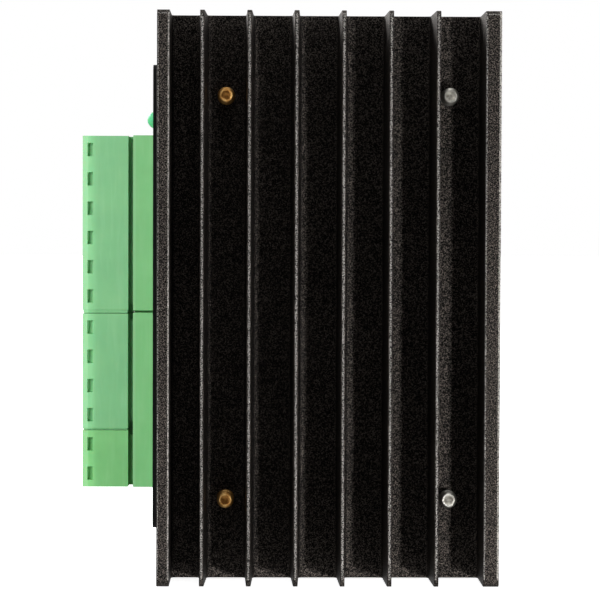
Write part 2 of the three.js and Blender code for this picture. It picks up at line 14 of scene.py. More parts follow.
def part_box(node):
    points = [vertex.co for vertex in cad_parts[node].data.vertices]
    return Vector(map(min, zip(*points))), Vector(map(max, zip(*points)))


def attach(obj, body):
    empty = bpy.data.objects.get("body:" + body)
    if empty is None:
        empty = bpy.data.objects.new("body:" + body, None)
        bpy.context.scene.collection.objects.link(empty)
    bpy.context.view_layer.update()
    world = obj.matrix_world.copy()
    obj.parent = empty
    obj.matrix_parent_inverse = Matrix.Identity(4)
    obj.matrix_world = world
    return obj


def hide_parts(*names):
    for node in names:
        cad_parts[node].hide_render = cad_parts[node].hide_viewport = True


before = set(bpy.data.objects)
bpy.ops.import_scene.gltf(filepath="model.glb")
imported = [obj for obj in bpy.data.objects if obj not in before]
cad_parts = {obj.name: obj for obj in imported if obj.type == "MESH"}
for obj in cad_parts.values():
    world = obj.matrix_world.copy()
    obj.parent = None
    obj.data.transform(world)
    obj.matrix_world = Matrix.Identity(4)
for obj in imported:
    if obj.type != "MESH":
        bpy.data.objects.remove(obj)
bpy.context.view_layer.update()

MM = 0.001
BODY = "module"
POLES = range(1, 13)
POLE_PITCH = 5.08
SWITCHES = range(1, 7)


def span(node):
    """A CAD node's lowest and highest corner, and its middle, in millimetres."""
    low, high = (Vector(corner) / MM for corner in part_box(node))
    return low, high, (low + high) / 2


SINK_LOW, SINK_HIGH, SINK_MID = span("heat_sink")
BOARD_LOW, BOARD_HIGH = span("circuit_board")[:2]
TIP_Y = SINK_LOW.y

# Turns a part drawn along +Z so that it points along another axis.
TO_BACK = Matrix.Rotation(math.radians(90), 4, "X")
TO_FRONT = Matrix.Rotation(math.radians(-90), 4, "X")
TO_TERMINALS = Matrix.Rotation(math.radians(-90), 4, "Y")


# ---- Nodes ----

NOISE, RAMP, BUMP, MIX = "ShaderNodeTexNoise", "ShaderNodeValToRGB", "ShaderNodeBump", "ShaderNodeMix"
MAPPING, MAP_RANGE = "ShaderNodeMapping", "ShaderNodeMapRange"
MATH, AXES = "ShaderNodeMath", "ShaderNodeSeparateXYZ"


def add_node(tree, kind, links=None, inputs=None, stops=None, **settings):
    """Adds a node. A source is a node or (node, output); links is {input: source}, or one source for the
    first input. stops are a colour ramp's (place, colour)."""
    node = tree.nodes.new(kind)
    if not isinstance(links, dict):
        links = {0: links} if links else {}
    for key, value in settings.items():
        setattr(node, key, value)
    for key, value in (inputs or {}).items():
        node.inputs[key].default_value = value
    for key, source in links.items():
        source, output = source if isinstance(source, tuple) else (source, 0)
        tree.links.new(source.outputs[output], node.inputs[key])
    for index, (place, colour) in enumerate(stops or ()):
        ramp = node.color_ramp.elements
        element = ramp[index] if index < len(ramp) else ramp.new(place)
        element.position = place
        element.color = linear(colour) if isinstance(colour, str) else (colour, colour, colour, 1)
    return node


def linear(hex_colour):
    """An sRGB hex colour, such as "7fc084", as a linear colour with alpha 1."""
    values = [int(hex_colour[i : i + 2], 16) / 255 for i in (0, 2, 4)]
    return tuple(v / 12.92 if v <= 0.04045 else ((v + 0.055) / 1.055) ** 2.4 for v in values) + (1.0,)


def new_material(name):
    """A material, the function that adds its nodes, and its object coordinates in millimetres."""
    material = bpy.data.materials.new(name)
    material.use_nodes = True
    material.node_tree.nodes.clear()
    add = partial(add_node, material.node_tree)
    coordinates = add("ShaderNodeTexCoord")
    return material, add, add(MAPPING, (coordinates, "Object"), {"Scale": (1 / MM,) * 3})


def shade(add, colour, rough, bump, **constants):
    """Ends a material: its shader with what is linked and what is the same all over."""
    links = {"Base Color": colour, "Roughness": rough, "Normal": bump}
    inputs = {key.replace("_", " "): value for key, value in constants.items()}
    add("ShaderNodeOutputMaterial", add("ShaderNodeBsdfPrincipled", links, inputs))


def plastic_like(name, light, dark, size, gloss, rough, bump_size, bump_height, **constants):
    """A surface whose colour drifts over blotches of that size, with fine bumps under its gloss."""
    material, add, place = new_material(name)
    drift = add(NOISE, place, {"Scale": 1 / size, "Detail": 3.0})
    fine = add(NOISE, place, {"Scale": 1 / bump_size, "Detail": 2.0})
    colour = add(RAMP, drift, stops=[(0.34, dark), (0.66, light)])
    rub = add(RAMP, drift, stops=[(0.3, rough), (0.7, gloss)])
    bump = add(BUMP, {"Height": fine}, {"Distance": bump_height * MM, "Strength": 0.7})
    shade(add, colour, rub, bump, **constants)
    return material


# ---- Materials ----


def anodised(name, dark, bright, low, high):
    """Aluminium extrusion, etched and black anodised: a dull black with a sparkling grain, dark in the pits
    and brighter on the tops. The real grain is about 0.1 mm across and is drawn 0.2 mm across so that it
    shows; faint die lines run along the extrusion."""
    material, add, place = new_material(name)
    grain = add(NOISE, place, {"Scale": 5.2, "Detail": 3.0, "Roughness": 0.8})
    along = add(MAPPING, place, {"Scale": (3.0, 3.0, 0.05)})
    lines = add(NOISE, along, {"Scale": 1.0, "Detail": 2.0})
    clouds = add(NOISE, place, {"Scale": 0.08, "Detail": 3.0})
    tops = add(RAMP, grain, stops=[(low, dark), (high, bright)])
    shade_of = add(RAMP, clouds, stops=[(0.3, 0.75), (0.7, 1.0)])
    colour = add(MIX, {6: tops, 7: shade_of}, {0: 1.0}, data_type="RGBA", blend_type="MULTIPLY")
    rough = add(RAMP, clouds, stops=[(0.3, 0.40), (0.7, 0.46)])
    die = add(BUMP, {"Height": lines}, {"Distance": 0.05 * MM, "Strength": 0.6})
    etch = add(BUMP, {"Height": grain, "Normal": die}, {"Distance": 0.12 * MM, "Strength": 1.0})
    shade(add, (colour, 2), rough, etch, Metallic=0.85)
    return material


def sawn_aluminium():
    """The extrusion's sawn ends under the same black dye: fine scratches run across the base."""
    material, add, place = new_material("sawn_black_anodised_aluminium")
    across = add(MAPPING, place, {"Scale": (0.3, 6.0, 6.0)})
    cuts = add(NOISE, across, {"Scale": 1.0, "Detail": 3.0})
    dirt = add(NOISE, place, {"Scale": 0.7, "Detail": 2.0})
    colour = add(RAMP, cuts, stops=[(0.4, "1c1a19"), (0.72, "4a4440")])
    rough = add(RAMP, dirt, stops=[(0.3, 0.4), (0.7, 0.58)])
    bump = add(BUMP, {"Height": cuts}, {"Distance": 0.04 * MM, "Strength": 0.8})
    shade(add, colour, rough, bump, Metallic=0.6)
    return material


def terminal_plastic(name, light, dark, rim, rim_from):
    """Polyamide 66, injection moulded in green: satin, faintly cloudy, with flow lines along the moulding.
    Its thin outer wall, which starts at rim_from along X, lets some light through and is painted paler as
    painted light."""
    material, add, place = new_material(name)
    drift = add(NOISE, place, {"Scale": 0.16, "Detail": 3.0})
    along = add(MAPPING, place, {"Scale": (1.2, 1.2, 0.12)})
    flow = add(NOISE, along, {"Scale": 1.0, "Detail": 3.0, "Distortion": 0.5})
    skin = add(NOISE, place, {"Scale": 8.0, "Detail": 2.0})
    body = add(RAMP, drift, stops=[(0.32, dark), (0.68, light)])
    streak = add(RAMP, flow, stops=[(0.45, 0.0), (0.75, 0.22)])
    flowed = add(MIX, {0: streak, 6: body}, {7: linear(rim)}, data_type="RGBA")
    axes = add(AXES, place)
    # Past rim_from the colour is painted paler: painted light on the outer wall.
    inputs = {"From Min": rim_from + 0.12, "From Max": rim_from - 0.12, "To Max": 0.6}
    painted_lit_strip = add(MAP_RANGE, (axes, "X"), inputs)
    colour = add(MIX, {0: painted_lit_strip, 6: (flowed, 2)}, {7: linear(rim)}, data_type="RGBA")
    rough = add(RAMP, skin, stops=[(0.3, 0.38), (0.7, 0.5)])
    bump = add(BUMP, {"Height": skin}, {"Distance": 0.008 * MM, "Strength": 0.7})
    shade(add, (colour, 2), rough, bump, IOR=1.53, Subsurface_Weight=0.15, Subsurface_Scale=0.5 * MM)
    return material


def moulded_abs():
    """ABS, injection moulded in black against a spark-eroded tool: matte, with pebbles 0.25 mm across, and a
    slight sheen where hands have rubbed it."""
    material, add, place = new_material("moulded_black_abs")
    pebbles = add("ShaderNodeTexVoronoi", place, {"Scale": 4.0}, feature="SMOOTH_F1")
    rub = add(NOISE, place, {"Scale": 0.06, "Detail": 3.0})
    colour = add(RAMP, rub, stops=[(0.3, "161617"), (0.7, "1f1f21")])
    rough = add(RAMP, rub, stops=[(0.35, 0.72), (0.65, 0.66)])
    bump = add(BUMP, {"Height": pebbles}, {"Distance": 0.06 * MM, "Strength": 0.8})
    shade(add, colour, rough, bump, IOR=1.53, Specular_IOR_Level=0.35)
    return material


def metal(name, bright, dull, gloss, scratch_height):
    """A plated or solid metal with stains 1 mm across and fine tool marks."""
    material, add, place = new_material(name)
    stain = add(NOISE, place, {"Scale": 1.1, "Detail": 4.0})
    marks = add(NOISE, place, {"Scale": 6.0, "Detail": 3.0, "Distortion": 1.0})
    colour = add(RAMP, stain, stops=[(0.4, dull), (0.62, bright)])
    rough = add(RAMP, stain, stops=[(0.3, gloss + 0.15), (0.7, gloss)])
    bump = add(BUMP, {"Height": marks}, {"Distance": scratch_height * MM, "Strength": 0.6})
    shade(add, colour, rough, bump, Metallic=1.0)
    return material


def solder_mask():
    """FR4 laminate under green solder mask: glossy, with paler, raised copper tracks 0.5 mm wide under it."""
    material, add, place = new_material("solder_masked_fr4")
    turned = add(MAPPING, place, {"Rotation": (math.pi / 2, 0, 0)})
    inputs = {"Scale": 0.5, "Mortar Size": 0.11, "Brick Width": 1.7, "Row Height": 0.8}
    tracks = add("ShaderNodeTexBrick", turned, inputs)
    weave = add(NOISE, place, {"Scale": 2.0})
    body = add(RAMP, weave, stops=[(0.3, "0e4424"), (0.7, "13552e")])
    colour = add(MIX, {0: (tracks, "Fac"), 6: body}, {7: linear("1f8044")}, data_type="RGBA")
    rough = add(RAMP, weave, stops=[(0.3, 0.26), (0.7, 0.38)])
    bump = add(BUMP, {"Height": (tracks, "Fac")}, {"Distance": 0.035 * MM})
    shade(add, (colour, 2), rough, bump, IOR=1.5, Coat_Weight=0.3)
    return material


ANODISED = anodised("black_anodised_aluminium", "080707", "91877f", 0.50, 0.62)
# The dye is thin on edges that have been rubbed, so that bare grains show; the pale grains are also a painted
# highlight on the tips and the walls' edges.
WORN_AND_HIGHLIT = anodised("rubbed_black_anodised_aluminium", "100f0f", "dcd7d1", 0.46, 0.58)
# A pale material that is a painted highlight along edges of the outer walls' tips.
EDGE_HIGHLIGHT = anodised("rubbed_through_anodised_aluminium", "3a3835", "e6e0d8", 0.42, 0.56)
SAWN = sawn_aluminium()
ABS = moulded_abs()
SIGNAL_GREEN = terminal_plastic("moulded_green_polyamide", "7fc886", "76c081", "9ad79f", -35.1)
POWER_GREEN = terminal_plastic("moulded_yellowish_green_polyamide", "7ac878", "70bd70", "96d494", -35.1)
HEADER_GREEN = terminal_plastic("moulded_green_polyamide_of_the_headers", "7ecc80", "76c578", "92d192", -26.9)
BRASS = metal("turned_brass", "f6c880", "d69c54", 0.42, 0.1)
NICKEL = metal("nickel_plated_brass", "e6e3da", "b2afa6", 0.34, 0.08)
# The ends of the studs, where they are sheared off: torn and rough.
SHEARED_BRASS = metal("sheared_brass", "d89c52", "8a5a28", 0.5, 0.3)
SHEARED_NICKEL = metal("sheared_nickel_plated_brass", "efebdf", "a6a297", 0.5, 0.3)
ZINC = metal("zinc_plated_steel", "c9ccd0", "9a9ea4", 0.28, 0.015)
TIN = metal("tinned_brass", "cfd0d0", "a5a6a6", 0.3, 0.01)
SOLDER = metal("tin_solder", "c4c6c8", "a2a4a6", 0.18, 0.02)
CAN = metal("drawn_aluminium_can", "d6d7d8", "b8b9ba", 0.24, 0.01)
MASK = solder_mask()
# Filled epoxy round a chip: matte black, with filler grains 0.15 mm across in its skin.
EPOXY = plastic_like("moulded_black_epoxy", "1d1d1f", "131314", 0.5, 0.5, 0.68, 0.15, 0.012, IOR=1.55)
# Silicone rubber filled with ceramic: soft, dull and grey, with a dusty skin.
SILICONE = plastic_like("filled_grey_silicone", "9a9da1", "85888c", 1.5, 0.72, 0.85, 0.3, 0.03, IOR=1.42)
# PET heat-shrink sleeve: thin, glossy and slightly uneven where it has shrunk.
SLEEVE = plastic_like("shrunk_black_pet_sleeve", "1c1c24", "14141a", 3.0, 0.18, 0.3, 1.2, 0.02, IOR=1.57)
STRIPE = plastic_like("printed_grey_stripe", "a9adb4", "989ca3", 2.0, 0.25, 0.36, 0.8, 0.01, IOR=1.5)
# Polyester film, screen printed on a satin embossed face 0.15 mm across.
FILM = plastic_like("embossed_pale_polyester_film", "c9ccd0", "c0c3c8", 9.0, 0.36, 0.46, 0.15, 0.006, IOR=1.6)
INK = plastic_like("screen_printed_dark_ink", "23262b", "1b1e22", 3.0, 0.34, 0.44, 0.2, 0.004, IOR=1.5)
BLUE_INK = plastic_like("screen_printed_blue_ink", "2f5f92", "285483", 5.0, 0.34, 0.44, 0.2, 0.004, IOR=1.5)
RED = plastic_like("moulded_red_pbt", "b3202a", "9c1821", 2.5, 0.3, 0.42, 0.12, 0.008, IOR=1.55)
WHITE = plastic_like("moulded_white_nylon", "eceae4", "dedbd3", 1.2, 0.32, 0.44, 0.1, 0.006, IOR=1.53)
CERAMIC = plastic_like("fired_brown_ceramic", "9a7a55", "86683f", 0.6, 0.5, 0.62, 0.2, 0.01, IOR=1.6)
LENS = plastic_like(
    # Epoxy cast clear and tinted green: a hard gloss over soft cloudy depth.
    "cast_green_epoxy", "7fe8aa", "4cc884", 1.4, 0.3, 0.38, 0.9, 0.006,
    IOR=1.55, Specular_IOR_Level=0.15, Transmission_Weight=0.1,
    Subsurface_Weight=0.4, Subsurface_Scale=0.8 * MM,
)


# ---- Meshes ----


def plain(obj):
    """Makes an object's modifiers part of its own mesh."""
    graph = bpy.context.evaluated_depsgraph_get()
    mesh = bpy.data.meshes.new_from_object(obj.evaluated_get(graph))
    obj.modifiers.clear()
    obj.data = mesh
    return obj


def modify(obj, kind, **settings):
    """Runs one modifier and keeps its result."""
    modifier = obj.modifiers.new("make", kind)
    for key, value in settings.items():
        setattr(modifier, key, value)
    return plain(obj)


def add_object(name, bm, materials=(), outward=False):
    """A new object from a bmesh. A shape drawn here has its faces turned outwards."""
    if outward:
        bmesh.ops.recalc_face_normals(bm, faces=bm.faces)
    mesh = bpy.data.meshes.new(name)
    bm.to_mesh(mesh)
    bm.free()
    for material in materials:
        mesh.materials.append(material)
    obj = bpy.data.objects.new(name, mesh)
    bpy.context.collection.objects.link(obj)
    return obj


def smooth(obj, angle=40):
    """Smooth shading up to that angle, with flat faces kept flat."""
    obj.data.shade_smooth()
    obj.data.set_sharp_from_angle(angle=math.radians(angle))
    return modify(obj, "WEIGHTED_NORMAL", keep_sharp=True, weight=100)


def copy_of(node):
    """A CAD node's shape as a bmesh, with its loose triangles merged and its flat faces whole."""
    bm = bmesh.new()
    bm.from_mesh(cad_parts[node].data)
    bmesh.ops.remove_doubles(bm, verts=bm.verts, dist=0.004 * MM)
    bmesh.ops.dissolve_limit(bm, angle_limit=math.radians(1), verts=bm.verts, edges=bm.edges)
    return bm


def place(obj, slot, body=BODY, nodes=()):
    """Rides a finished piece on its body and hides the nodes that it stands for. The slot is not used."""
    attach(obj, body)
    if nodes:
        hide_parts(*nodes)


def rounded_copy(node, name, materials, width, segments=2, wide=None, wide_by=3.0, cut=None):
    """A copy of a CAD node with its sharp edges rounded. wide says of an edge's two ends, in millimetres,
    whether it is rounded wide_by times as much, and cut is a closed bmesh that is first taken out."""
    obj = add_object(name, copy_of(node), materials)
    if cut:
        subtract(obj, cut)
    bm = bmesh.new()
    bm.from_mesh(obj.data)
    weight = bm.edges.layers.float.new("bevel_weight_edge")
    for line in bm.edges:
        if len(line.link_faces) == 2 and line.calc_face_angle(0) > math.radians(30):
            chosen = wide is None or wide(*[v.co / MM for v in line.verts])
            line[weight] = 1.0 if chosen else 1 / wide_by
    bm.to_mesh(obj.data)
    bm.free()
    full = width * (wide_by if wide else 1) * MM
    return modify(obj, "BEVEL", width=full, segments=segments, limit_method="WEIGHT", loop_slide=False)


def stand_in(node, name, material, width, slot, body=BODY, **settings):
    """A rounded copy of a CAD node, finished, which stands for it."""
    obj = smooth(rounded_copy(node, name, [material], width, **settings))
    place(obj, slot, body, [node])
    return obj


def drawn(name, bm, materials, slot, matrix=Matrix.Identity(4), angle=40, body=BODY, nodes=()):
    """A finished piece from a closed bmesh, moved to its place."""
    obj = add_object(name, bm, materials, outward=True)
    obj.data.transform(matrix)
    place(smooth(obj, angle), slot, body, nodes)
    return obj


def lathe(bm, points, sides=32, material=0):
    """Turns (radius, height) points in millimetres about Z. A radius of nothing closes an end."""
    rings = []
    for radius, height in points:
        count = 1 if radius == 0 else sides
        angles = [2 * math.pi * i / count for i in range(count)]
        at = [Vector((radius * math.cos(a), radius * math.sin(a), height)) * MM for a in angles]
        rings.append([bm.verts.new(co) for co in at])
    for low, high in zip(rings, rings[1:]):
        for i in range(sides):
            corners = (low[i % len(low)], low[(i + 1) % sides % len(low)])
            corners += (high[(i + 1) % sides % len(high)], high[i % len(high)])
            bm.faces.new(list(dict.fromkeys(corners))).material_index = material


def prism(bm, outline, low, high, taper=1.0):
    """A straight or tapering solid from an (x, y) outline in millimetres, between two heights."""
    bottom = [bm.verts.new(Vector((x * taper, y * taper, low)) * MM) for x, y in outline]
    top = [bm.verts.new(Vector((x, y, high)) * MM) for x, y in outline]
    bm.faces.new(bottom[::-1])
    bm.faces.new(top)
    for i in range(len(outline)):
        j = (i + 1) % len(outline)
        bm.faces.new((bottom[i], bottom[j], top[j], top[i]))


def bevel(bm, width, segments):
    """Bevels all of a bmesh's edges."""
    bmesh.ops.bevel(bm, geom=bm.edges[:], offset=width * MM, segments=segments, affect="EDGES")


def oblong(x0, y0, x1, y1):
    return [(x0, y0), (x1, y0), (x1, y1), (x0, y1)]


def block(bm, low, high):
    """A block between two corners in millimetres."""
    prism(bm, oblong(*low[:2], *high[:2]), low[2], high[2])


def regular(sides, radius, turn=0.0):
    """A regular outline with its corners at that radius."""
    angles = [turn + 2 * math.pi * i / sides for i in range(sides)]
    return [(radius * math.cos(a), radius * math.sin(a)) for a in angles]


def add_mesh(bm, mesh, matrix=Matrix.Identity(4)):
    """Adds a copy of a mesh to a bmesh."""
    before = len(bm.verts)
    bm.from_mesh(mesh)
    bm.verts.ensure_lookup_table()
    bmesh.ops.transform(bm, matrix=matrix, verts=bm.verts[before:])


def shift(x, y, z):
    """A move in millimetres."""
    return Matrix.Translation(Vector((x, y, z)) * MM)


def put(name, template, matrix, slot, body=BODY, nodes=()):
    """A piece that is a copy of a template object's mesh, with its place in its mesh."""
    obj = template.copy()
    obj.name = name
    obj.data = template.data.copy()
    obj.data.name = name
    obj.data.transform(matrix)
    bpy.context.collection.objects.link(obj)
    place(obj, slot, body, nodes)


def subtract(obj, bm):
    """Cuts a closed bmesh out of an object."""
    cutter = add_object("cutter", bm, outward=True)
    modify(obj, "BOOLEAN", operation="DIFFERENCE", solver="EXACT", object=cutter)
    bpy.data.objects.remove(cutter)


# ---- Geometry Nodes: what repeats or follows a path ----

FLOAT, WHOLE, VECTOR = "NodeSocketFloat", "NodeSocketInt", "NodeSocketVector"


def new_tree(name, **kinds):
    """A tree whose named inputs, after its geometry and material, have these kinds, the function that adds
    its nodes, and its input node."""
    tree = bpy.data.node_groups.new(name, "GeometryNodeTree")
    tree.interface.new_socket("Geometry", in_out="INPUT", socket_type="NodeSocketGeometry")
    tree.interface.new_socket("Material", in_out="INPUT", socket_type="NodeSocketMaterial")
    for label, kind in kinds.items():
        tree.interface.new_socket(label.replace("_", " "), in_out="INPUT", socket_type=kind)
    tree.interface.new_socket("Geometry", in_out="OUTPUT", socket_type="NodeSocketGeometry")
    add = partial(add_node, tree)
    return tree, add, add("NodeGroupInput")


def end_tree(tree, given, geometry, selection=None):
    """Makes real meshes of the instances, gives them the material and ends the tree."""
    real = add_node(tree, "GeometryNodeRealizeInstances", geometry)
    links = {"Geometry": real, "Material": (given, "Material")}
    if selection:
        links["Selection"] = selection
    coated = add_node(tree, "GeometryNodeSetMaterial", links)
    add_node(tree, "NodeGroupOutput", coated)
    return tree


def grow(obj, tree, **values):
    """Runs a tree on an object with these values for its inputs, and keeps the mesh."""
    modifier = obj.modifiers.new("grow", "NODES")
    modifier.node_group = tree
    sockets = [item for item in tree.interface.items_tree if item.in_out == "INPUT"]
    identifiers = {item.name.replace(" ", "_"): item.identifier for item in sockets}
    for label, value in values.items():
        modifier[identifiers[label]] = value
    return plain(obj)


def outwards(obj):
    """Merges what a tree left apart and turns the faces outwards."""
    bm = bmesh.new()
    bm.from_mesh(obj.data)
    bmesh.ops.remove_doubles(bm, verts=bm.verts, dist=0.0005 * MM)
    bmesh.ops.recalc_face_normals(bm, faces=bm.faces)
    bm.to_mesh(obj.data)
    bm.free()
    return obj


def thread_tree():
    """A screw thread: a ridge wound round Z, up to its length."""
    tree, add, given = new_tree("screw_thread", Radius=FLOAT, Pitch=FLOAT, Length=FLOAT)
    ridge = add(MATH, (given, "Pitch"), {1: 0.45}, operation="MULTIPLY")
    middle = add(MATH, {0: (given, "Radius"), 1: ridge}, operation="SUBTRACT")
    turns = add(MATH, {0: (given, "Length"), 1: (given, "Pitch")}, operation="DIVIDE")
    links = {"Rotations": turns, "Start Radius": middle, "End Radius": middle, "Height": (given, "Length")}
    path = add("GeometryNodeCurveSpiral", links, {"Resolution": 20})
    upright = add("GeometryNodeSetCurveNormal", {"Curve": path}, mode="Z_UP")
    outline = add("GeometryNodeCurvePrimitiveCircle", {"Radius": ridge}, {"Resolution": 4})
    wound = add("GeometryNodeCurveToMesh", {"Curve": upright, "Profile Curve": outline}, {"Fill Caps": True})
    return end_tree(tree, given, wound)


def rod_row_tree():
    """A flat rod bent along the given edges, repeated in a straight row."""
    kinds = {"Width": FLOAT, "Thickness": FLOAT, "Bend": FLOAT, "Count": WHOLE, "Step": VECTOR}
    tree, add, given = new_tree("rod_row", **kinds)
    path = add("GeometryNodeMeshToCurve", {"Mesh": (given, "Geometry")})
    links = {"Curve": path, "Radius": (given, "Bend")}
    bent = add("GeometryNodeFilletCurve", links, {"Count": 4, "Limit Radius": True}, mode="POLY")
    upright = add("GeometryNodeSetCurveNormal", {"Curve": bent}, mode="Z_UP")
    links = {"Width": (given, "Width"), "Height": (given, "Thickness")}
    outline = add("GeometryNodeCurvePrimitiveQuadrilateral", links)
    rod = add("GeometryNodeCurveToMesh", {"Curve": upright, "Profile Curve": outline}, {"Fill Caps": True})
    row = add("GeometryNodeMeshLine", {"Count": (given, "Count"), "Offset": (given, "Step")})
    rods = add("GeometryNodeInstanceOnPoints", {"Points": row, "Instance": rod})
    return end_tree(tree, given, rods)


def cells_tree():
    """The given shape, set out in columns and rows on XY, each cell kept by chance from a fixed seed."""
    kinds = {"Columns": WHOLE, "Rows": WHOLE, "Wide": FLOAT, "High": FLOAT, "Share": FLOAT, "Seed": WHOLE}
    tree, add, given = new_tree("cells", **kinds)
    links = {"Vertices X": (given, "Columns"), "Vertices Y": (given, "Rows")}
    links |= {"Size X": (given, "Wide"), "Size Y": (given, "High")}
    grid = add("GeometryNodeMeshGrid", links)
    links = {"Probability": (given, "Share"), "Seed": (given, "Seed")}
    kept = add("FunctionNodeRandomValue", links, data_type="BOOLEAN")
    links = {"Points": grid, "Instance": (given, "Geometry"), "Selection": (kept, 3)}
    cells = add("GeometryNodeInstanceOnPoints", links)
    return end_tree(tree, given, cells)


def rubbed_tips_tree():
    """Wear on the tips of the fins and walls: they waver a little, nicks are struck into them here and there,
    and the level faces at the tip plane that are smaller than a patch get the given pale material, which is
    rubbed metal and also a painted highlight."""
    kinds = {"Tip": FLOAT, "Depth": FLOAT, "Waver": FLOAT, "Nick": FLOAT, "Spacing": FLOAT, "Seed": FLOAT}
    tree, add, given = new_tree("rubbed_tips", Patch=FLOAT, **kinds)
    at = add("GeometryNodeInputPosition")
    axes = add(AXES, at)
    below = add(MATH, {0: (axes, "Y"), 1: (given, "Tip")}, operation="SUBTRACT")
    near = add(MAP_RANGE, {"Value": below, "From Max": (given, "Depth")}, {"To Min": 1.0, "To Max": 0.0})
    links = {"Vector": at, "W": (given, "Seed")}
    shake = add(NOISE, links, {"Scale": 1600.0, "Detail": 2.0}, noise_dimensions="4D")
    push = add(MATH, {0: shake, 1: (given, "Waver")}, operation="MULTIPLY")
    each = add(MATH, {1: (given, "Spacing")}, {0: 1.0}, operation="DIVIDE")
    links = {"Vector": at, "W": (given, "Seed"), "Scale": each}
    struck = add("ShaderNodeTexVoronoi", links, voronoi_dimensions="4D")
    hit = add(MAP_RANGE, struck, {"From Max": 0.14, "To Min": 1.0, "To Max": 0.0})
    dent = add(MATH, {0: hit, 1: (given, "Nick")}, operation="MULTIPLY")
    both = add(MATH, {0: push, 1: dent}, operation="ADD")
    deep = add(MATH, {0: both, 1: near}, operation="MULTIPLY")
    offset = add("ShaderNodeCombineXYZ", {"Y": deep})
    moved = add("GeometryNodeSetPosition", {"Geometry": (given, "Geometry"), "Offset": offset})
    # The level strips at the tip plane, which get the painted highlight.
    at_top = add(MATH, near, {1: 0.5}, operation="GREATER_THAN")
    slope = add(AXES, add("GeometryNodeInputNormal"))
    lean = add(MATH, (slope, "X"), operation="ABSOLUTE")
    level = add(MATH, lean, {1: 0.2}, operation="LESS_THAN")
    area = add("GeometryNodeInputMeshFaceArea")
    narrow = add(MATH, {0: area, 1: (given, "Patch")}, operation="LESS_THAN")
    strip = add(MATH, {0: at_top, 1: narrow}, operation="MULTIPLY")
    highlit_strip = add(MATH, {0: strip, 1: level}, operation="MULTIPLY")
    return end_tree(tree, given, moved, selection=highlit_strip)


THREAD, ROD_ROW, CELLS, WORN_TIPS_AND_HIGHLIGHT = thread_tree(), rod_row_tree(), cells_tree(), rubbed_tips_tree()


def rods(name, paths, material, width, thickness, count, step, bend=0.0):
    """Rows of flat rods, one row for each path of points in millimetres."""
    bm = bmesh.new()
    for points in paths:
        path = bmesh.new()
        verts = [path.verts.new(Vector(point) * MM) for point in points]
        for pair in zip(verts, verts[1:]):
            path.edges.new(pair)
        row = add_object("row", path)
        sizes = {"Width": width * MM, "Thickness": thickness * MM, "Bend": bend * MM}
        grow(row, ROD_ROW, Material=material, Count=count, Step=Vector(step) * MM, **sizes)
        add_mesh(bm, row.data)
        bpy.data.objects.remove(row)
    return smooth(outwards(add_object(name, bm, [material])))


def thread(radius, pitch, length, material):
    """A screw thread's mesh along Z."""
    holder = add_object("thread", bmesh.new())
    sizes = {"Radius": radius * MM, "Pitch": pitch * MM, "Length": length * MM}
    mesh = outwards(grow(holder, THREAD, Material=material, **sizes)).data
    bpy.data.objects.remove(holder)
    return mesh


def cells(shape, columns, rows, wide, high, share=1.0, seed=1):
    """The mesh of a bmesh repeated over a grid of that width and height in millimetres."""
    holder = add_object("cells", shape, outward=True)
    sizes = {"Wide": wide * MM, "High": high * MM}
    grow(holder, CELLS, Columns=columns, Rows=rows, Share=share, Seed=seed, **sizes)
    mesh = holder.data
    bpy.data.objects.remove(holder)
    return mesh


# ---- Heat sink and what stands on it ----

TIP_ROUNDING = 0.29
DARK_END = 1.1  # length at the lower end where the tips get no painted highlight and stay dark
WALL_LEFT = 2.1  # thickness of the wall on the terminal side
HIGHLIGHT_EDGE = 0.38  # width of the strip painted pale along the outer edge on the switch side, as a painted highlight
TIP_ROWS = 0.6  # spacing of the rows of vertices along the tips
DYED, RUBBED_AND_HIGHLIT, SAWN_END = range(3)  # the first of its materials
TIP_ZONE = 1  # depth below the tip plane where the mesh is made finer
WALL_OFFSET = 25  # the outer walls' tips are further than this from the middle


def slice_faces(bm, faces, at, normal):
    """Cuts some faces along a plane through a point in millimetres."""
    parts = faces + list({e for f in faces for e in f.edges}) + list({v for f in faces for v in f.verts})
    bmesh.ops.bisect_plane(bm, geom=parts, plane_co=Vector(at) * MM, plane_no=normal, dist=0.001 * MM)


def tip_faces(bm, beyond=-math.inf):
    """The faces in the tip zone that lie wholly past that X."""
    depth = (TIP_Y + TIP_ZONE) * MM
    return [f for f in bm.faces if all(v.co.y < depth and v.co.x > beyond * MM for v in f.verts)]


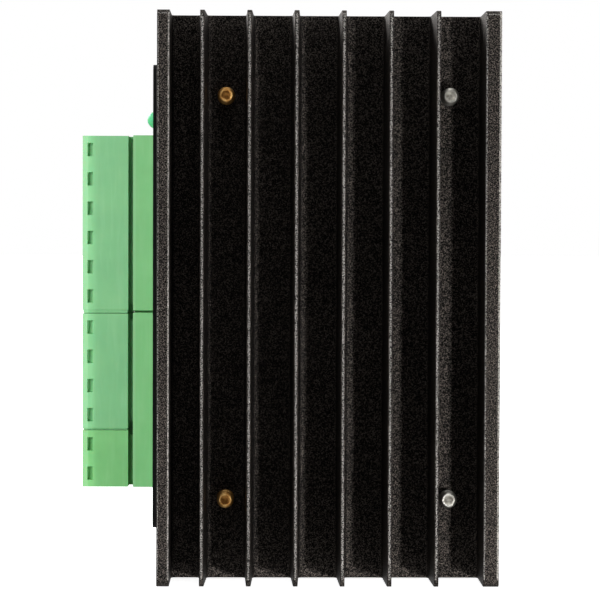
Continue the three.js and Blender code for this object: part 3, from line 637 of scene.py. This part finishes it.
def make_heat_sink():
    """The extrusion: rounded and rubbed tips with a painted highlight on them and on the walls' edges, sawn
    ends.
    """

    def at_tip(a, b):
        return max(a.y, b.y) < TIP_Y + 0.65

    sizes = {"segments": 3, "wide": at_tip, "wide_by": TIP_ROUNDING / 0.1}
    sink = rounded_copy("heat_sink", "heat_sink_extrusion", [ANODISED, WORN_AND_HIGHLIT, SAWN, EDGE_HIGHLIGHT], 0.1, **sizes)
    bm = bmesh.new()
    bm.from_mesh(sink.data)
    # Cuts the tips at the inner side of the painted highlight strip on the switch side.
    slice_faces(bm, tip_faces(bm, SINK_HIGH.x - 3), (SINK_HIGH.x - HIGHLIGHT_EDGE, 0, 0), (1, 0, 0))
    for face in bm.faces:
        at, lean = face.calc_center_median() / MM, face.normal.x
        if abs(face.normal.z) > 0.9:
            face.material_index = SAWN_END
        elif at.y < TIP_Y + 0.35 and abs(at.x - SINK_MID.x) > WALL_OFFSET:
            # Edge faces of the outer walls that lean these ways get the pale material, as rubbed metal and a
            # painted highlight.
            inward = -lean if at.x > SINK_MID.x else lean
            face.material_index = RUBBED_AND_HIGHLIT if 0.1 < inward < 0.95 or -0.5 < inward < -0.1 else DYED
    for row in range(1, int((SINK_HIGH.z - SINK_LOW.z) / TIP_ROWS)):
        slice_faces(bm, tip_faces(bm), (0, 0, SINK_LOW.z + row * TIP_ROWS), (0, 0, 1))
    bm.to_mesh(sink.data)
    bm.free()
    # The tips waver and are nicked; their level strips get the pale material as rubbed metal and a painted
    # highlight.
    wear = {"Tip": TIP_Y * MM, "Depth": 0.5 * MM, "Waver": 0.1 * MM, "Nick": 0.6 * MM, "Spacing": 6 * MM}
    grow(sink, WORN_TIPS_AND_HIGHLIGHT, Material=WORN_AND_HIGHLIT, Patch=0.3 * MM * MM, Seed=4.0, **wear)
    # A strip along the outer edge on the switch side and one along the wall's inner edge on the terminal side
    # get the painted edge highlight.
    edge_highlight = sink.data.materials.find(EDGE_HIGHLIGHT.name)
    for face in sink.data.polygons:
        at = face.center / MM
        at_edge = at.x > SINK_HIGH.x - HIGHLIGHT_EDGE or 0 < SINK_LOW.x + WALL_LEFT - at.x < TIP_ROUNDING
        # The lower end of the tips keeps the plain material, without the painted highlight.
        if at.z < SINK_LOW.z + DARK_END and abs(face.normal.z) < 0.9:
            face.material_index = DYED
        elif at_edge and at.y < TIP_Y + 0.3 and face.normal.y < -0.2:
            face.material_index = edge_highlight
    place(smooth(sink), "black_anodised", nodes=["heat_sink"])


STUD_OUT = 5.7  # seat of a lower standoff to the end of its stud
STUD_CHAMFER = 0.55
END_RADIUS = 0.94  # flat of a stud's end
SHEAR_RADIUS = 0.74  # flats of the six-sided patch where it sheared off
M3_RADIUS, M3_CORE, M3_PITCH = 1.45, 1.22, 0.5


def six_sided(radius, i, sides):
    """The radius of one of a circle's corners that makes it a hexagon with that radius to its flats."""
    angle = 2 * math.pi * i / sides
    return radius / math.cos(angle % (math.pi / 3) - math.pi / 6)


def make_standoffs():
    """Hexagonal standoffs: the lower ones' studs come out through the base, sheared off at the end, and the
    upper ones hold the cover."""
    studs = []
    brass, nickel = (BRASS, SHEARED_BRASS, "brass"), (NICKEL, SHEARED_NICKEL, "nickel")
    for number, (coat, torn, slot) in enumerate((brass, brass, nickel, nickel), 1):
        low, high, mid = span(f"standoff_lower_{number}")
        body = high.y - low.y - STUD_OUT
        bm = bmesh.new()
        corner = (high.x - low.x) / math.sqrt(3)
        prism(bm, regular(6, corner, math.pi / 2), -body, 0)
        bevel(bm, 0.18, 1)
        end = STUD_OUT
        shank = [(0, -0.3), (M3_CORE, -0.3), (M3_CORE, end - 0.75), (1.43, end - STUD_CHAMFER)]
        lathe(bm, shank + [(1.36, end - 0.3), (1.2, end - 0.11), (1.05, end), (END_RADIUS, end)])
        inner = [v for v in bm.verts if v.co.z > (end - 0.001) * MM and v.co.xy.length < 1.0 * MM]
        inner.sort(key=lambda v: math.atan2(v.co.y, v.co.x))
        for i, v in enumerate(inner):
            v.co.xy = v.co.xy.normalized() * min(six_sided(SHEAR_RADIUS, i, len(inner)), END_RADIUS) * MM
        sheared = bm.faces.new(inner)
        bmesh.ops.inset_individual(bm, faces=[sheared], thickness=0.1 * MM, depth=-0.14 * MM)
        sheared.material_index = 1
        add_mesh(bm, thread(M3_RADIUS, M3_PITCH, end - STUD_CHAMFER, coat))
        matrix = shift(mid.x, low.y + STUD_OUT, mid.z) @ TO_BACK
        nodes = [f"standoff_lower_{number}"]
        studs.append(drawn(f"standoff_stud_{number}", bm, [coat, torn], slot, matrix, 30, nodes=nodes))
        stand_in(f"standoff_upper_{number}", f"standoff_post_{number}", NICKEL, 0.15, "nickel")
    return studs


# ---- Cover, label and screws ----

LABEL_LOW, LABEL_HIGH, LABEL_MID = span("front_label")
INK_THICK = 0.03
BAND_LEFT, BAND_RIGHT = 5.5, 8.5  # the bands' distances from the label's sides
TABLE_LEFTS = (-17.5, 1.5)
TABLE_LOW, TABLE_TOP, CELL_WIDE, TABLE_ROWS = -18, 15, 4, 8
TABLE_WIDE, TABLE_TALL = 4 * CELL_WIDE, TABLE_TOP - TABLE_LOW
HALF_LINE = 0.08
LOWEST_NUMBER = 1.6  # the lowest number's height above the label's lower edge
# Lays what is drawn on XY on the label: X to the terminals, Y up, Z out of the label.
ON_LABEL = shift(LABEL_MID.x, LABEL_HIGH.y, LABEL_MID.z) @ Matrix(
    ((-1, 0, 0, 0), (0, 0, 1, 0), (0, 1, 0, 0), (0, 0, 0, 1))
)


def write(bm, text, size, matrix, thick=INK_THICK):
    """Adds digits or a sign, drawn about the middle of the matrix's XY."""
    curve = bpy.data.curves.new("digits", "FONT")
    curve.body = text
    curve.size = size * MM
    curve.extrude = thick * MM / 2
    curve.resolution_u = 3
    curve.align_x, curve.align_y = "CENTER", "CENTER"
    obj = bpy.data.objects.new("digits", curve)
    bpy.context.collection.objects.link(obj)
    graph = bpy.context.evaluated_depsgraph_get()
    add_mesh(bm, bpy.data.meshes.new_from_object(obj.evaluated_get(graph)), matrix @ shift(0, 0, thick / 2))
    bpy.data.objects.remove(obj)


def pole_height(number):
    """The height of a terminal's middle, from its own clamp screw."""
    return span(f"clamp_screw_{number}")[2].z


def frame_lines(bm, x0, y0, x1, y1, width):
    """A rectangle drawn as four lines that meet in mitred corners."""
    outer, inner = oblong(x0, y0, x1, y1), oblong(x0 + width, y0 + width, x1 - width, y1 - width)
    for i in range(4):
        j = (i + 1) % 4
        prism(bm, [outer[i], outer[j], inner[j], inner[i]], 0, INK_THICK)


def make_label():
    """The film and its printing: two bands, two tables, and numbers beside the terminals and switches."""
    stand_in("front_label", "label_film", FILM, 0.05, "label_film")
    half_x, half_y = (LABEL_HIGH.x - LABEL_LOW.x) / 2, (LABEL_HIGH.z - LABEL_LOW.z) / 2
    band = bmesh.new()
    for low, high in ((half_y - 9, half_y - 3), (-half_y + 3, -half_y + 4.2)):
        block(band, (-half_x + BAND_LEFT, low, 0), (half_x - BAND_RIGHT, high, INK_THICK))
    band = add_object("label_band", band, [BLUE_INK], outward=True)
    band.data.transform(ON_LABEL)
    place(band, "label_film")
    dark = bmesh.new()
    for left in TABLE_LEFTS:
        frame_lines(dark, left, TABLE_LOW, left + TABLE_WIDE, TABLE_TOP, 0.3)
        for line in range(1, 4):
            middle = left + CELL_WIDE * line
            block(dark, (middle - HALF_LINE, TABLE_LOW, 0), (middle + HALF_LINE, TABLE_TOP, INK_THICK))
        for line in range(1, TABLE_ROWS):
            level = TABLE_TOP - TABLE_TALL * line / TABLE_ROWS
            block(dark, (left, level - HALF_LINE, 0), (left + TABLE_WIDE, level + HALF_LINE, INK_THICK))
        for share, seed, shape in ((0.5, 3, regular(4, 1.0, math.pi / 4)), (1.0, 5, regular(12, 0.35))):
            dot = bmesh.new()
            prism(dot, shape, 0, INK_THICK)
            tall = TABLE_TALL * 7 / TABLE_ROWS
            marks = cells(dot, 4, TABLE_ROWS, 3 * CELL_WIDE, tall, share, seed + int(left > 0))
            add_mesh(dark, marks, shift(left + TABLE_WIDE / 2, (TABLE_LOW + TABLE_TOP) / 2, 0))
    levels = {pole: max(pole_height(pole) - LABEL_MID.z, -half_y + LOWEST_NUMBER) for pole in POLES}
    for number, level in levels.items():
        write(dark, str(number), 2.6, shift(half_x - 3.6, level, 0))
        block(dark, (half_x - 1.6, level - 0.12, 0), (half_x - 0.4, level + 0.12, INK_THICK))
    for number in SWITCHES:
        level = span(f"switch_slider_{number}")[2].z - LABEL_MID.z
        write(dark, str(number), 2.0, shift(-half_x + 3.0, level, 0))
        block(dark, (-half_x + 0.4, level - 0.1, 0), (-half_x + 1.6, level + 0.1, INK_THICK))
    for sign, number in (("-", 11), ("+", 12)):
        write(dark, sign, 3.0, shift(half_x - 6.8, levels[number], 0))
    ink = add_object("label_printing", dark, [INK], outward=True)
    ink.data.transform(ON_LABEL)
    place(outwards(ink), "label_film")


def finish_screw(screw, recess, radius, length, foot, material):
    """Cuts the recess out of a screw's head and winds the thread round its shank."""
    subtract(screw, recess)
    bm = bmesh.new()
    bm.from_mesh(screw.data)
    add_mesh(bm, thread(radius, M3_PITCH, length, material), shift(0, 0, foot))
    bm.to_mesh(screw.data)
    bm.free()
    smooth(screw)


def make_cover_screws():
    """Pan-head screws with a cross recess."""
    bm = bmesh.new()
    shank = [(0, -8), (0.75, -8), (M3_CORE, -7.6), (M3_CORE, 0)]
    lathe(bm, shank + [(2.7, 0), (2.8, 0.1), (2.8, 0.6), (2.62, 1.1), (2.2, 1.5), (1.5, 1.7), (0, 1.75)], 40)
    template = add_object("screw", bm, [NICKEL], outward=True)
    arm, reach = 0.36, 1.6
    cross = [(reach, -arm), (reach, arm), (arm, arm), (arm, reach), (-arm, reach), (-arm, arm), (-reach, arm)]
    cross += [(-reach, -arm), (-arm, -arm), (-arm, -reach), (arm, -reach), (arm, -arm)]
    recess = bmesh.new()
    prism(recess, cross, 0.5, 2.2, taper=0.35)
    finish_screw(template, recess, M3_RADIUS, 7, -7.6, NICKEL)
    for number in range(1, 5):
        high, mid = span(f"cover_screw_{number}")[1:]
        matrix = shift(mid.x, high.y - 1.75, mid.z) @ TO_FRONT @ Matrix.Rotation(0.4 * number, 4, "Z")
        put(f"cover_pan_screw_{number}", template, matrix, "nickel", nodes=[f"cover_screw_{number}"])
    bpy.data.objects.remove(template)


# ---- Board and what is soldered to it ----

HEADER_1, HEADER_2 = span("header_1"), span("header_2")
PIN_Y = 4.55  # where the header pins lie
TAIL_X = -16.9  # where the header pins turn down through the board
CHIP_PITCH, LEG_PITCH = 1.27, 2.54


def make_board():
    """The circuit board, its driver chip, small parts, capacitors and optocouplers."""
    stand_in("circuit_board", "circuit_board_panel", MASK, 0.06, "board_green", segments=1)

    stand_in("driver_chip", "driver_chip_package", EPOXY, 0.2, "chip_black")
    low, high, mid = span("driver_chip")
    rows = []
    for side in (-1, 1):
        edge = low.x if side < 0 else high.x
        knee, toe, foot = edge + 0.9 * side, edge + 1.7 * side, BOARD_LOW.y - 0.1
        bends = [(edge - 0.2 * side, mid.y), (knee, mid.y), (knee, foot), (toe, foot)]
        rows.append([(x, y, high.z - 1.75) for x, y in bends])
    leads = rods("driver_chip_leads", rows, TIN, 0.4, 0.15, 25, (0, 0, -CHIP_PITCH), bend=0.25)
    place(leads, "zinc_steel")

    small, ends = bmesh.new(), bmesh.new()
    block(small, (-0.75, -0.62, 0), (0.75, 0.62, 0.55))
    block(ends, (0.7, -0.64, 0), (1.0, 0.64, 0.58))
    block(ends, (-1.0, -0.64, 0), (-0.7, 0.64, 0.58))
    flat = shift(9.5, BOARD_HIGH.y + 0.01, 68) @ TO_FRONT
    for name, shape, coat, slot in (
        ("small_capacitors", small, CERAMIC, "board_green"),
        ("small_capacitor_ends", ends, TIN, "zinc_steel"),
    ):
        bm = bmesh.new()
        add_mesh(bm, cells(shape, 6, 5, 20, 12, 0.6, 7), flat)
        drawn(name, bm, [coat], slot)

    joints = bmesh.new()
    for low, high, mid in (HEADER_1, HEADER_2):
        cone = bmesh.new()
        lathe(cone, [(0, 0), (1.15, 0), (0.95, 0.35), (0.66, 0.8), (0.6, 1.0), (0, 1.05)], 16)
        under = shift(TAIL_X, BOARD_LOW.y, mid.z) @ TO_BACK
        add_mesh(joints, cells(cone, 1, 6, 1, 5 * POLE_PITCH), under)
    drawn("header_solder_joints", joints, [SOLDER], "zinc_steel")

    for number in (1, 2):
        make_capacitor(number)
    for number in (1, 2, 3):
        make_optocoupler(number)


def make_capacitor(number):
    """An aluminium can in a shrunk sleeve, with a crimp near its foot and a scored vent in its top."""
    low, high, mid = span(f"capacitor_{number}")
    tall, radius = high.y - low.y, (high.x - low.x) / 2
    bm = bmesh.new()
    side = [(0, 0), (radius - 0.5, 0), (radius, 0.45), (radius, 1.2), (radius - 0.35, 1.6), (radius, 2.0)]
    side += [(radius, tall - 0.6), (radius - 0.12, tall - 0.2), (radius - 0.6, tall), (radius - 1, tall)]
    lathe(bm, side, 48)
    lathe(bm, [(radius - 1, tall), (radius - 1.1, tall - 0.15), (0, tall - 0.15)], 48, material=1)
    bmesh.ops.remove_doubles(bm, verts=bm.verts, dist=0.001 * MM)
    for face in bm.faces:
        centre = face.calc_center_median() / MM
        on_side = centre.xy.length > radius - 0.4 and 2 < centre.z < tall - 0.3
        if on_side and abs(math.atan2(centre.y, centre.x)) < 0.3:
            face.material_index = 2
    can = add_object(f"capacitor_can_{number}", bm, [SLEEVE, CAN, STRIPE], outward=True)
    for turn in range(3):
        arm = bmesh.new()
        block(arm, (-0.12, 0, tall - 0.27), (0.12, radius - 1.7, tall + 1))
        bmesh.ops.rotate(arm, verts=arm.verts, matrix=Matrix.Rotation(math.radians(120 * turn), 3, "Z"))
        subtract(can, arm)
    can.data.transform(shift(mid.x, low.y, mid.z) @ TO_FRONT)
    place(smooth(can, 50), "sleeve_black", nodes=[f"capacitor_{number}"])


def make_optocoupler(number):
    """A four-legged package with a dimple that marks its first leg."""
    low, high = span(f"optocoupler_{number}")[:2]
    dimple = bmesh.new()
    lathe(dimple, [(0, -0.15), (0.35, -0.15), (0.4, 0.5), (0, 0.5)], 16)
    bmesh.ops.transform(dimple, matrix=shift(low.x + 1, high.y, high.z - 1) @ TO_FRONT, verts=dimple.verts)
    package = f"optocoupler_package_{number}"
    stand_in(f"optocoupler_{number}", package, EPOXY, 0.18, "chip_black", cut=dimple)
    knee = low.y + 1.9
    rows = []
    for side, edge in ((-1, low.x), (1, high.x)):
        out = edge + 0.45 * side
        first = high.z - 1.0
        rows.append([(edge - 0.2 * side, knee, first), (out, knee, first), (out, BOARD_LOW.y - 0.8, first)])
    step = (0, 0, -(high.z - low.z - 2))
    place(rods(f"optocoupler_legs_{number}", rows, TIN, 0.6, 0.25, 2, step, bend=0.3), "zinc_steel")


DOME = [0.12 + 0.12 * step for step in range(12)]  # angles of the rings of a dome


def make_led():
    """A 3 mm lamp that lies on its side: a domed lens round a cup, on two bent legs."""
    low, high, mid = span("power_led")
    length = high.x - low.x
    radius, flange = 1.5, (high.y - low.y) / 2
    bm = bmesh.new()
    dome = [(radius * math.cos(a), length - radius + radius * math.sin(a)) for a in DOME]
    rim = [(0, 0), (flange - 0.1, 0), (flange, 0.1), (flange, 0.95), (radius, 1.05)]
    lathe(bm, rim + dome + [(0, length)])
    sideways = shift(high.x, mid.y, mid.z) @ TO_TERMINALS
    lens = drawn("power_led_lens", bm, [LENS], "lens_green", sideways, nodes=["power_led"])
    cup = bmesh.new()
    lathe(cup, [(0, 0.8), (0.35, 0.8), (0.45, 1.9), (0.75, 2.6), (0.68, 2.6), (0.38, 2.1), (0, 2.1)], 20)
    drawn("power_led_cup", cup, [TIN], "nickel", sideways)
    bends = [(high.x - 1, mid.y), (high.x + 1.6, mid.y), (high.x + 1.6, BOARD_LOW.y - 0.7)]
    path = [(x, y, mid.z + LEG_PITCH / 2) for x, y in bends]
    place(rods("power_led_legs", [path], TIN, 0.5, 0.5, 2, (0, 0, -LEG_PITCH), bend=0.5), "nickel")
    return lens


# ---- Terminals ----

PLUG_DEPTH = 7.92  # wire-entry face to shoulder
RIB_CLEARANCE = 0.08
TOWER_STEP = 1.0  # the screw tower stands this far behind the wire-entry face
TOE = 8.4  # where the wire-entry face ends and the step to the screw towers begins, along Y
GROOVE_DEPTH, HALF_GROOVE = 0.3, 0.2


def make_header_rib():
    """A rib under the upper header, which keeps the two headers in line."""
    low, high = HEADER_1[:2]
    bm = bmesh.new()
    floor = span("header_2")[1].z + RIB_CLEARANCE
    block(bm, (low.x + 0.25, low.y + 0.25, floor), (high.x - 0.25, high.y - 0.25, low.z + 0.3))
    bevel(bm, 0.06, 2)
    drawn("header_rib", bm, [HEADER_GREEN], "terminal_green")


def make_headers():
    """The fixed halves of the terminals, with their pins."""
    headers = []
    for number, (low, high, _) in ((1, HEADER_1), (2, HEADER_2)):
        shell = stand_in(f"header_{number}", f"header_shell_{number}", HEADER_GREEN, 0.12, "terminal_green")
        headers.append(shell)
        first = high.z - POLE_PITCH / 2 - (high.z - low.z - 6 * POLE_PITCH) / 2
        path = [(low.x + 1.6, PIN_Y, first), (TAIL_X, PIN_Y, first), (TAIL_X, BOARD_LOW.y - 1.3, first)]
        pins = rods(f"header_pins_{number}", [path], TIN, 1.0, 1.0, 6, (0, 0, -POLE_PITCH), bend=0.5)
        place(pins, "nickel")
    return headers


def make_plug(node, poles, coat, below=None):
    """A pluggable half and the neck that goes into its header: rounded wire entries, and a groove between
    neighbouring screw towers."""
    low, high = span(node)[:2]
    slot, body = "terminal_green", f"{node}_body"
    shoulder = low.x + PLUG_DEPTH
    heights = [pole_height(number) for number in poles]
    grooves = bmesh.new()
    for upper, lower in zip(heights, heights[1:]):
        level = (upper + lower) / 2
        front, top = low.x + TOWER_STEP + GROOVE_DEPTH, high.y - GROOVE_DEPTH
        outline = [(low.x - 1, TOE + 0.6), (front, TOE + 0.6), (front, top), (low.x + 7, top)]
        outline += [(low.x + 7, high.y + 1), (low.x - 1, high.y + 1)]
        prism(grooves, outline, level - HALF_GROOVE, level + HALF_GROOVE)

    def entry_rim(a, b):
        """An edge of a wire entry, in the face where the wires go in."""
        inside = all(low.y + 0.5 < p.y < TOE - 0.5 and low.z + 0.6 < p.z < high.z - 0.6 for p in (a, b))
        return inside and max(a.x, b.x) < low.x + 0.01

    shell = stand_in(node, f"{node}_shell", coat, 0.12, slot, body, wide=entry_rim, wide_by=3.5, cut=grooves)
    neck = bmesh.new()
    foot = span(below)[1].z + RIB_CLEARANCE if below else low.z + 0.02
    block(neck, (shoulder - 0.2, low.y + 3, foot), (HEADER_1[0].x - 0.08, TOE, high.z - 0.02))
    if below:
        # The rib that keeps a plug clear of the one below it.
        block(neck, (low.x + 0.12, low.y + 0.25, foot), (shoulder - 0.1, TOE - 0.1, low.z + 0.3))
    bevel(neck, 0.08, 2)
    return shell, drawn(f"{node}_neck", neck, [coat], slot, body=body)


def make_clamps():
    """The slotted clamp screws and the wire cages that they lift."""
    bm = bmesh.new()
    shank = [(0, -6.3), (0.85, -6.3), (1.03, -6.05), (1.03, 0)]
    lathe(bm, shank + [(1.8, 0), (1.88, 0.08), (1.88, 1.1), (1.78, 1.28), (1.55, 1.38), (0, 1.4)], 36)
    template = add_object("clamp", bm, [ZINC], outward=True)
    slot_cut = bmesh.new()
    block(slot_cut, (-3, -0.35, 0.6), (3, 0.35, 2))
    finish_screw(template, slot_cut, 1.24, 5.6, -6.1, ZINC)
    for number in POLES:
        screw = f"clamp_screw_{number}"
        high, mid = span(screw)[1:]
        matrix = shift(mid.x, high.y - 1.4, mid.z) @ TO_FRONT
        put(f"clamp_slotted_screw_{number}", template, matrix, "zinc_steel", f"{screw}_body", [screw])
        cage = f"wire_cage_{number}"
        stand_in(cage, f"wire_cage_frame_{number}", ZINC, 0.1, "zinc_steel", f"{cage}_body", segments=1)
    bpy.data.objects.remove(template)


# ---- Switches ----


def make_switches():
    """A block of six slide switches, with its digits and its solder tails."""
    low, high, mid = span("switch_housing")
    stand_in("switch_housing", "switch_block", RED, 0.1, "switch_red")
    # Lays what is drawn on XY on the face of the block: X to the front, Y up, Z out of the face.
    on_face = Matrix(((0, 0, 1, 0), (1, 0, 0, 0), (0, 1, 0, 0), (0, 0, 0, 1)))
    printing = bmesh.new()
    for number in SWITCHES:
        slider = f"switch_slider_{number}"
        matrix = shift(high.x, high.y - 0.95, span(slider)[2].z) @ on_face
        write(printing, str(number), 1.5, matrix, thick=0.04)
        stand_in(slider, f"switch_knob_{number}", WHITE, 0.1, "slider_white", f"{slider}_body")
    digits = add_object("switch_digits", printing, [WHITE], outward=True)
    place(outwards(digits), "slider_white")
    root = low.y + 1.2
    bends = [(low.x + 0.3, root), (low.x - 0.9, root), (low.x - 0.9, BOARD_LOW.y - 0.7)]
    path = [(x, y, mid.z + 2.5 * LEG_PITCH) for x, y in bends]
    place(rods("switch_legs", [path], TIN, 0.5, 0.25, 6, (0, 0, -LEG_PITCH), bend=0.2), "nickel")


# ---- Camera, floor and light ----

FIELD = 99.7  # width of the view at the tips of the fins
EYE_X, EYE_BACK, EYE_Z = 10.94, 372.0, 10.58  # the eye from the middle of the fins' tips
AIM_X, AIM_Z = 4.79, 0.08
CAMERA_ROLL = math.radians(0.2)
FLOOR = 6000  # the floor's half width


def make_camera():
    eye = Vector((SINK_MID.x - EYE_X, TIP_Y - EYE_BACK, SINK_MID.z + EYE_Z))
    aim = Vector((SINK_MID.x - AIM_X, TIP_Y, SINK_MID.z - AIM_Z))
    look = aim - eye
    data = bpy.data.cameras.new("camera")
    data.sensor_width = 36.0
    data.lens = data.sensor_width * look.length / FIELD
    data.clip_start, data.clip_end = 0.01, 20.0
    camera = bpy.data.objects.new("camera", data)
    turn = look.to_track_quat("-Z", "Y").to_matrix() @ Matrix.Rotation(CAMERA_ROLL, 3, "Z")
    camera.matrix_world = Matrix.Translation(eye * MM) @ turn.to_4x4()
    bpy.context.collection.objects.link(camera)
    bpy.context.scene.camera = camera


def make_lamp(name, place_mm, size, light, only=()):
    """A square lamp that faces the heat sink. light is what it throws there, in watts per square metre, and
    only names the pieces that it lights, where it doesn't light all of them."""
    at, aim = Vector(place_mm), SINK_MID
    data = bpy.data.lights.new(name, "AREA")
    data.size = size * MM
    data.energy = light * math.pi * ((at - aim).length * MM) ** 2
    lamp = bpy.data.objects.new(name, data)
    lamp.location = at * MM
    lamp.rotation_euler = (aim - at).to_track_quat("-Z", "Y").to_euler()
    lamp.visible_camera = False
    bpy.context.collection.objects.link(lamp)
    if only:
        lit = bpy.data.collections.new(name + "_lights")
        for obj in only:
            lit.objects.link(obj)
        lamp.light_linking.receiver_collection = lit


def make_studio(front_pieces):
    """A bright white floor and room, and five lamps."""
    scene = bpy.context.scene
    scene.view_settings.view_transform = "Standard"
    scene.view_settings.look = "None"
    world = bpy.data.worlds.new("white_room")
    scene.world = world
    world.use_nodes = True
    world.node_tree.nodes.clear()
    add = partial(add_node, world.node_tree)
    seen = add("ShaderNodeLightPath")
    way = add("ShaderNodeTexCoord")
    axes = add(AXES, (way, "Generated"))
    depth = add(MAP_RANGE, (axes, "Y"), {"From Min": -1.0, "From Max": 1.0})
    stops = [(0.1, 0.04), (0.15, 0.6), (0.5, 0.6), (0.65, 0.45)]
    room = add(RAMP, depth, stops=stops)
    sky = add(MIX, {0: (seen, "Is Camera Ray"), 6: room}, {7: (1, 1, 1, 1)}, data_type="RGBA")
    light = add("ShaderNodeBackground", {"Color": (sky, 2)})
    add("ShaderNodeOutputWorld", {"Surface": light})

    paper = plastic_like("white_paper_floor", "ffffff", "f6f6f6", 40, 0.9, 0.95, 4, 0.05)
    shader = next(node for node in paper.node_tree.nodes if node.type == "BSDF_PRINCIPLED")
    shader.inputs["Emission Color"].default_value = (1, 1, 1, 1)
    shader.inputs["Emission Strength"].default_value = 0.9
    bm = bmesh.new()
    corners = [bm.verts.new(Vector((x, y, -0.05)) * MM) for x, y in oblong(-FLOOR, -FLOOR, FLOOR, FLOOR)]
    bm.faces.new(corners)
    floor = add_object("floor", bm, [paper])
    # The floor is seen, but it throws no light on the part and no lamp is hidden by it.
    floor.visible_diffuse = floor.visible_glossy = floor.visible_transmission = floor.visible_shadow = False

    x, y, z = SINK_MID
    make_lamp("key_lamp", (x + 148, TIP_Y - 257, z - 96), 20, 1.4)
    make_lamp("top_lamp", (x + 30, y - 50, z + 400), 150, 0.5)
    make_lamp("front_lamp", (x - 330, y + 380, z + 240), 260, 1.8)
    make_lamp("side_lamp", (x + 420, y + 150, z + 160), 220, 0.9)
    make_lamp("fill_lamp", (x - 200, TIP_Y - 330, z + 60), 200, 2.35, front_pieces)


make_camera()
make_heat_sink()
front_pieces = make_standoffs()
stand_in("front_cover", "cover_moulding", ABS, 0.18, "black_plastic")
make_label()
make_cover_screws()
make_board()
front_pieces.append(make_led())
make_header_rib()
front_pieces += make_headers()
front_pieces += make_plug("plug_signal", POLES[:6], SIGNAL_GREEN, "plug_motor")
front_pieces += make_plug("plug_motor", POLES[6:10], SIGNAL_GREEN, "plug_power")
front_pieces += make_plug("plug_power", POLES[10:], POWER_GREEN)
make_clamps()
make_switches()
make_studio(front_pieces)

# The pad between the chip and the base keeps its CAD shape.
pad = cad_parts["thermal_pad"]
pad.data.materials.clear()
pad.data.materials.append(SILICONE)
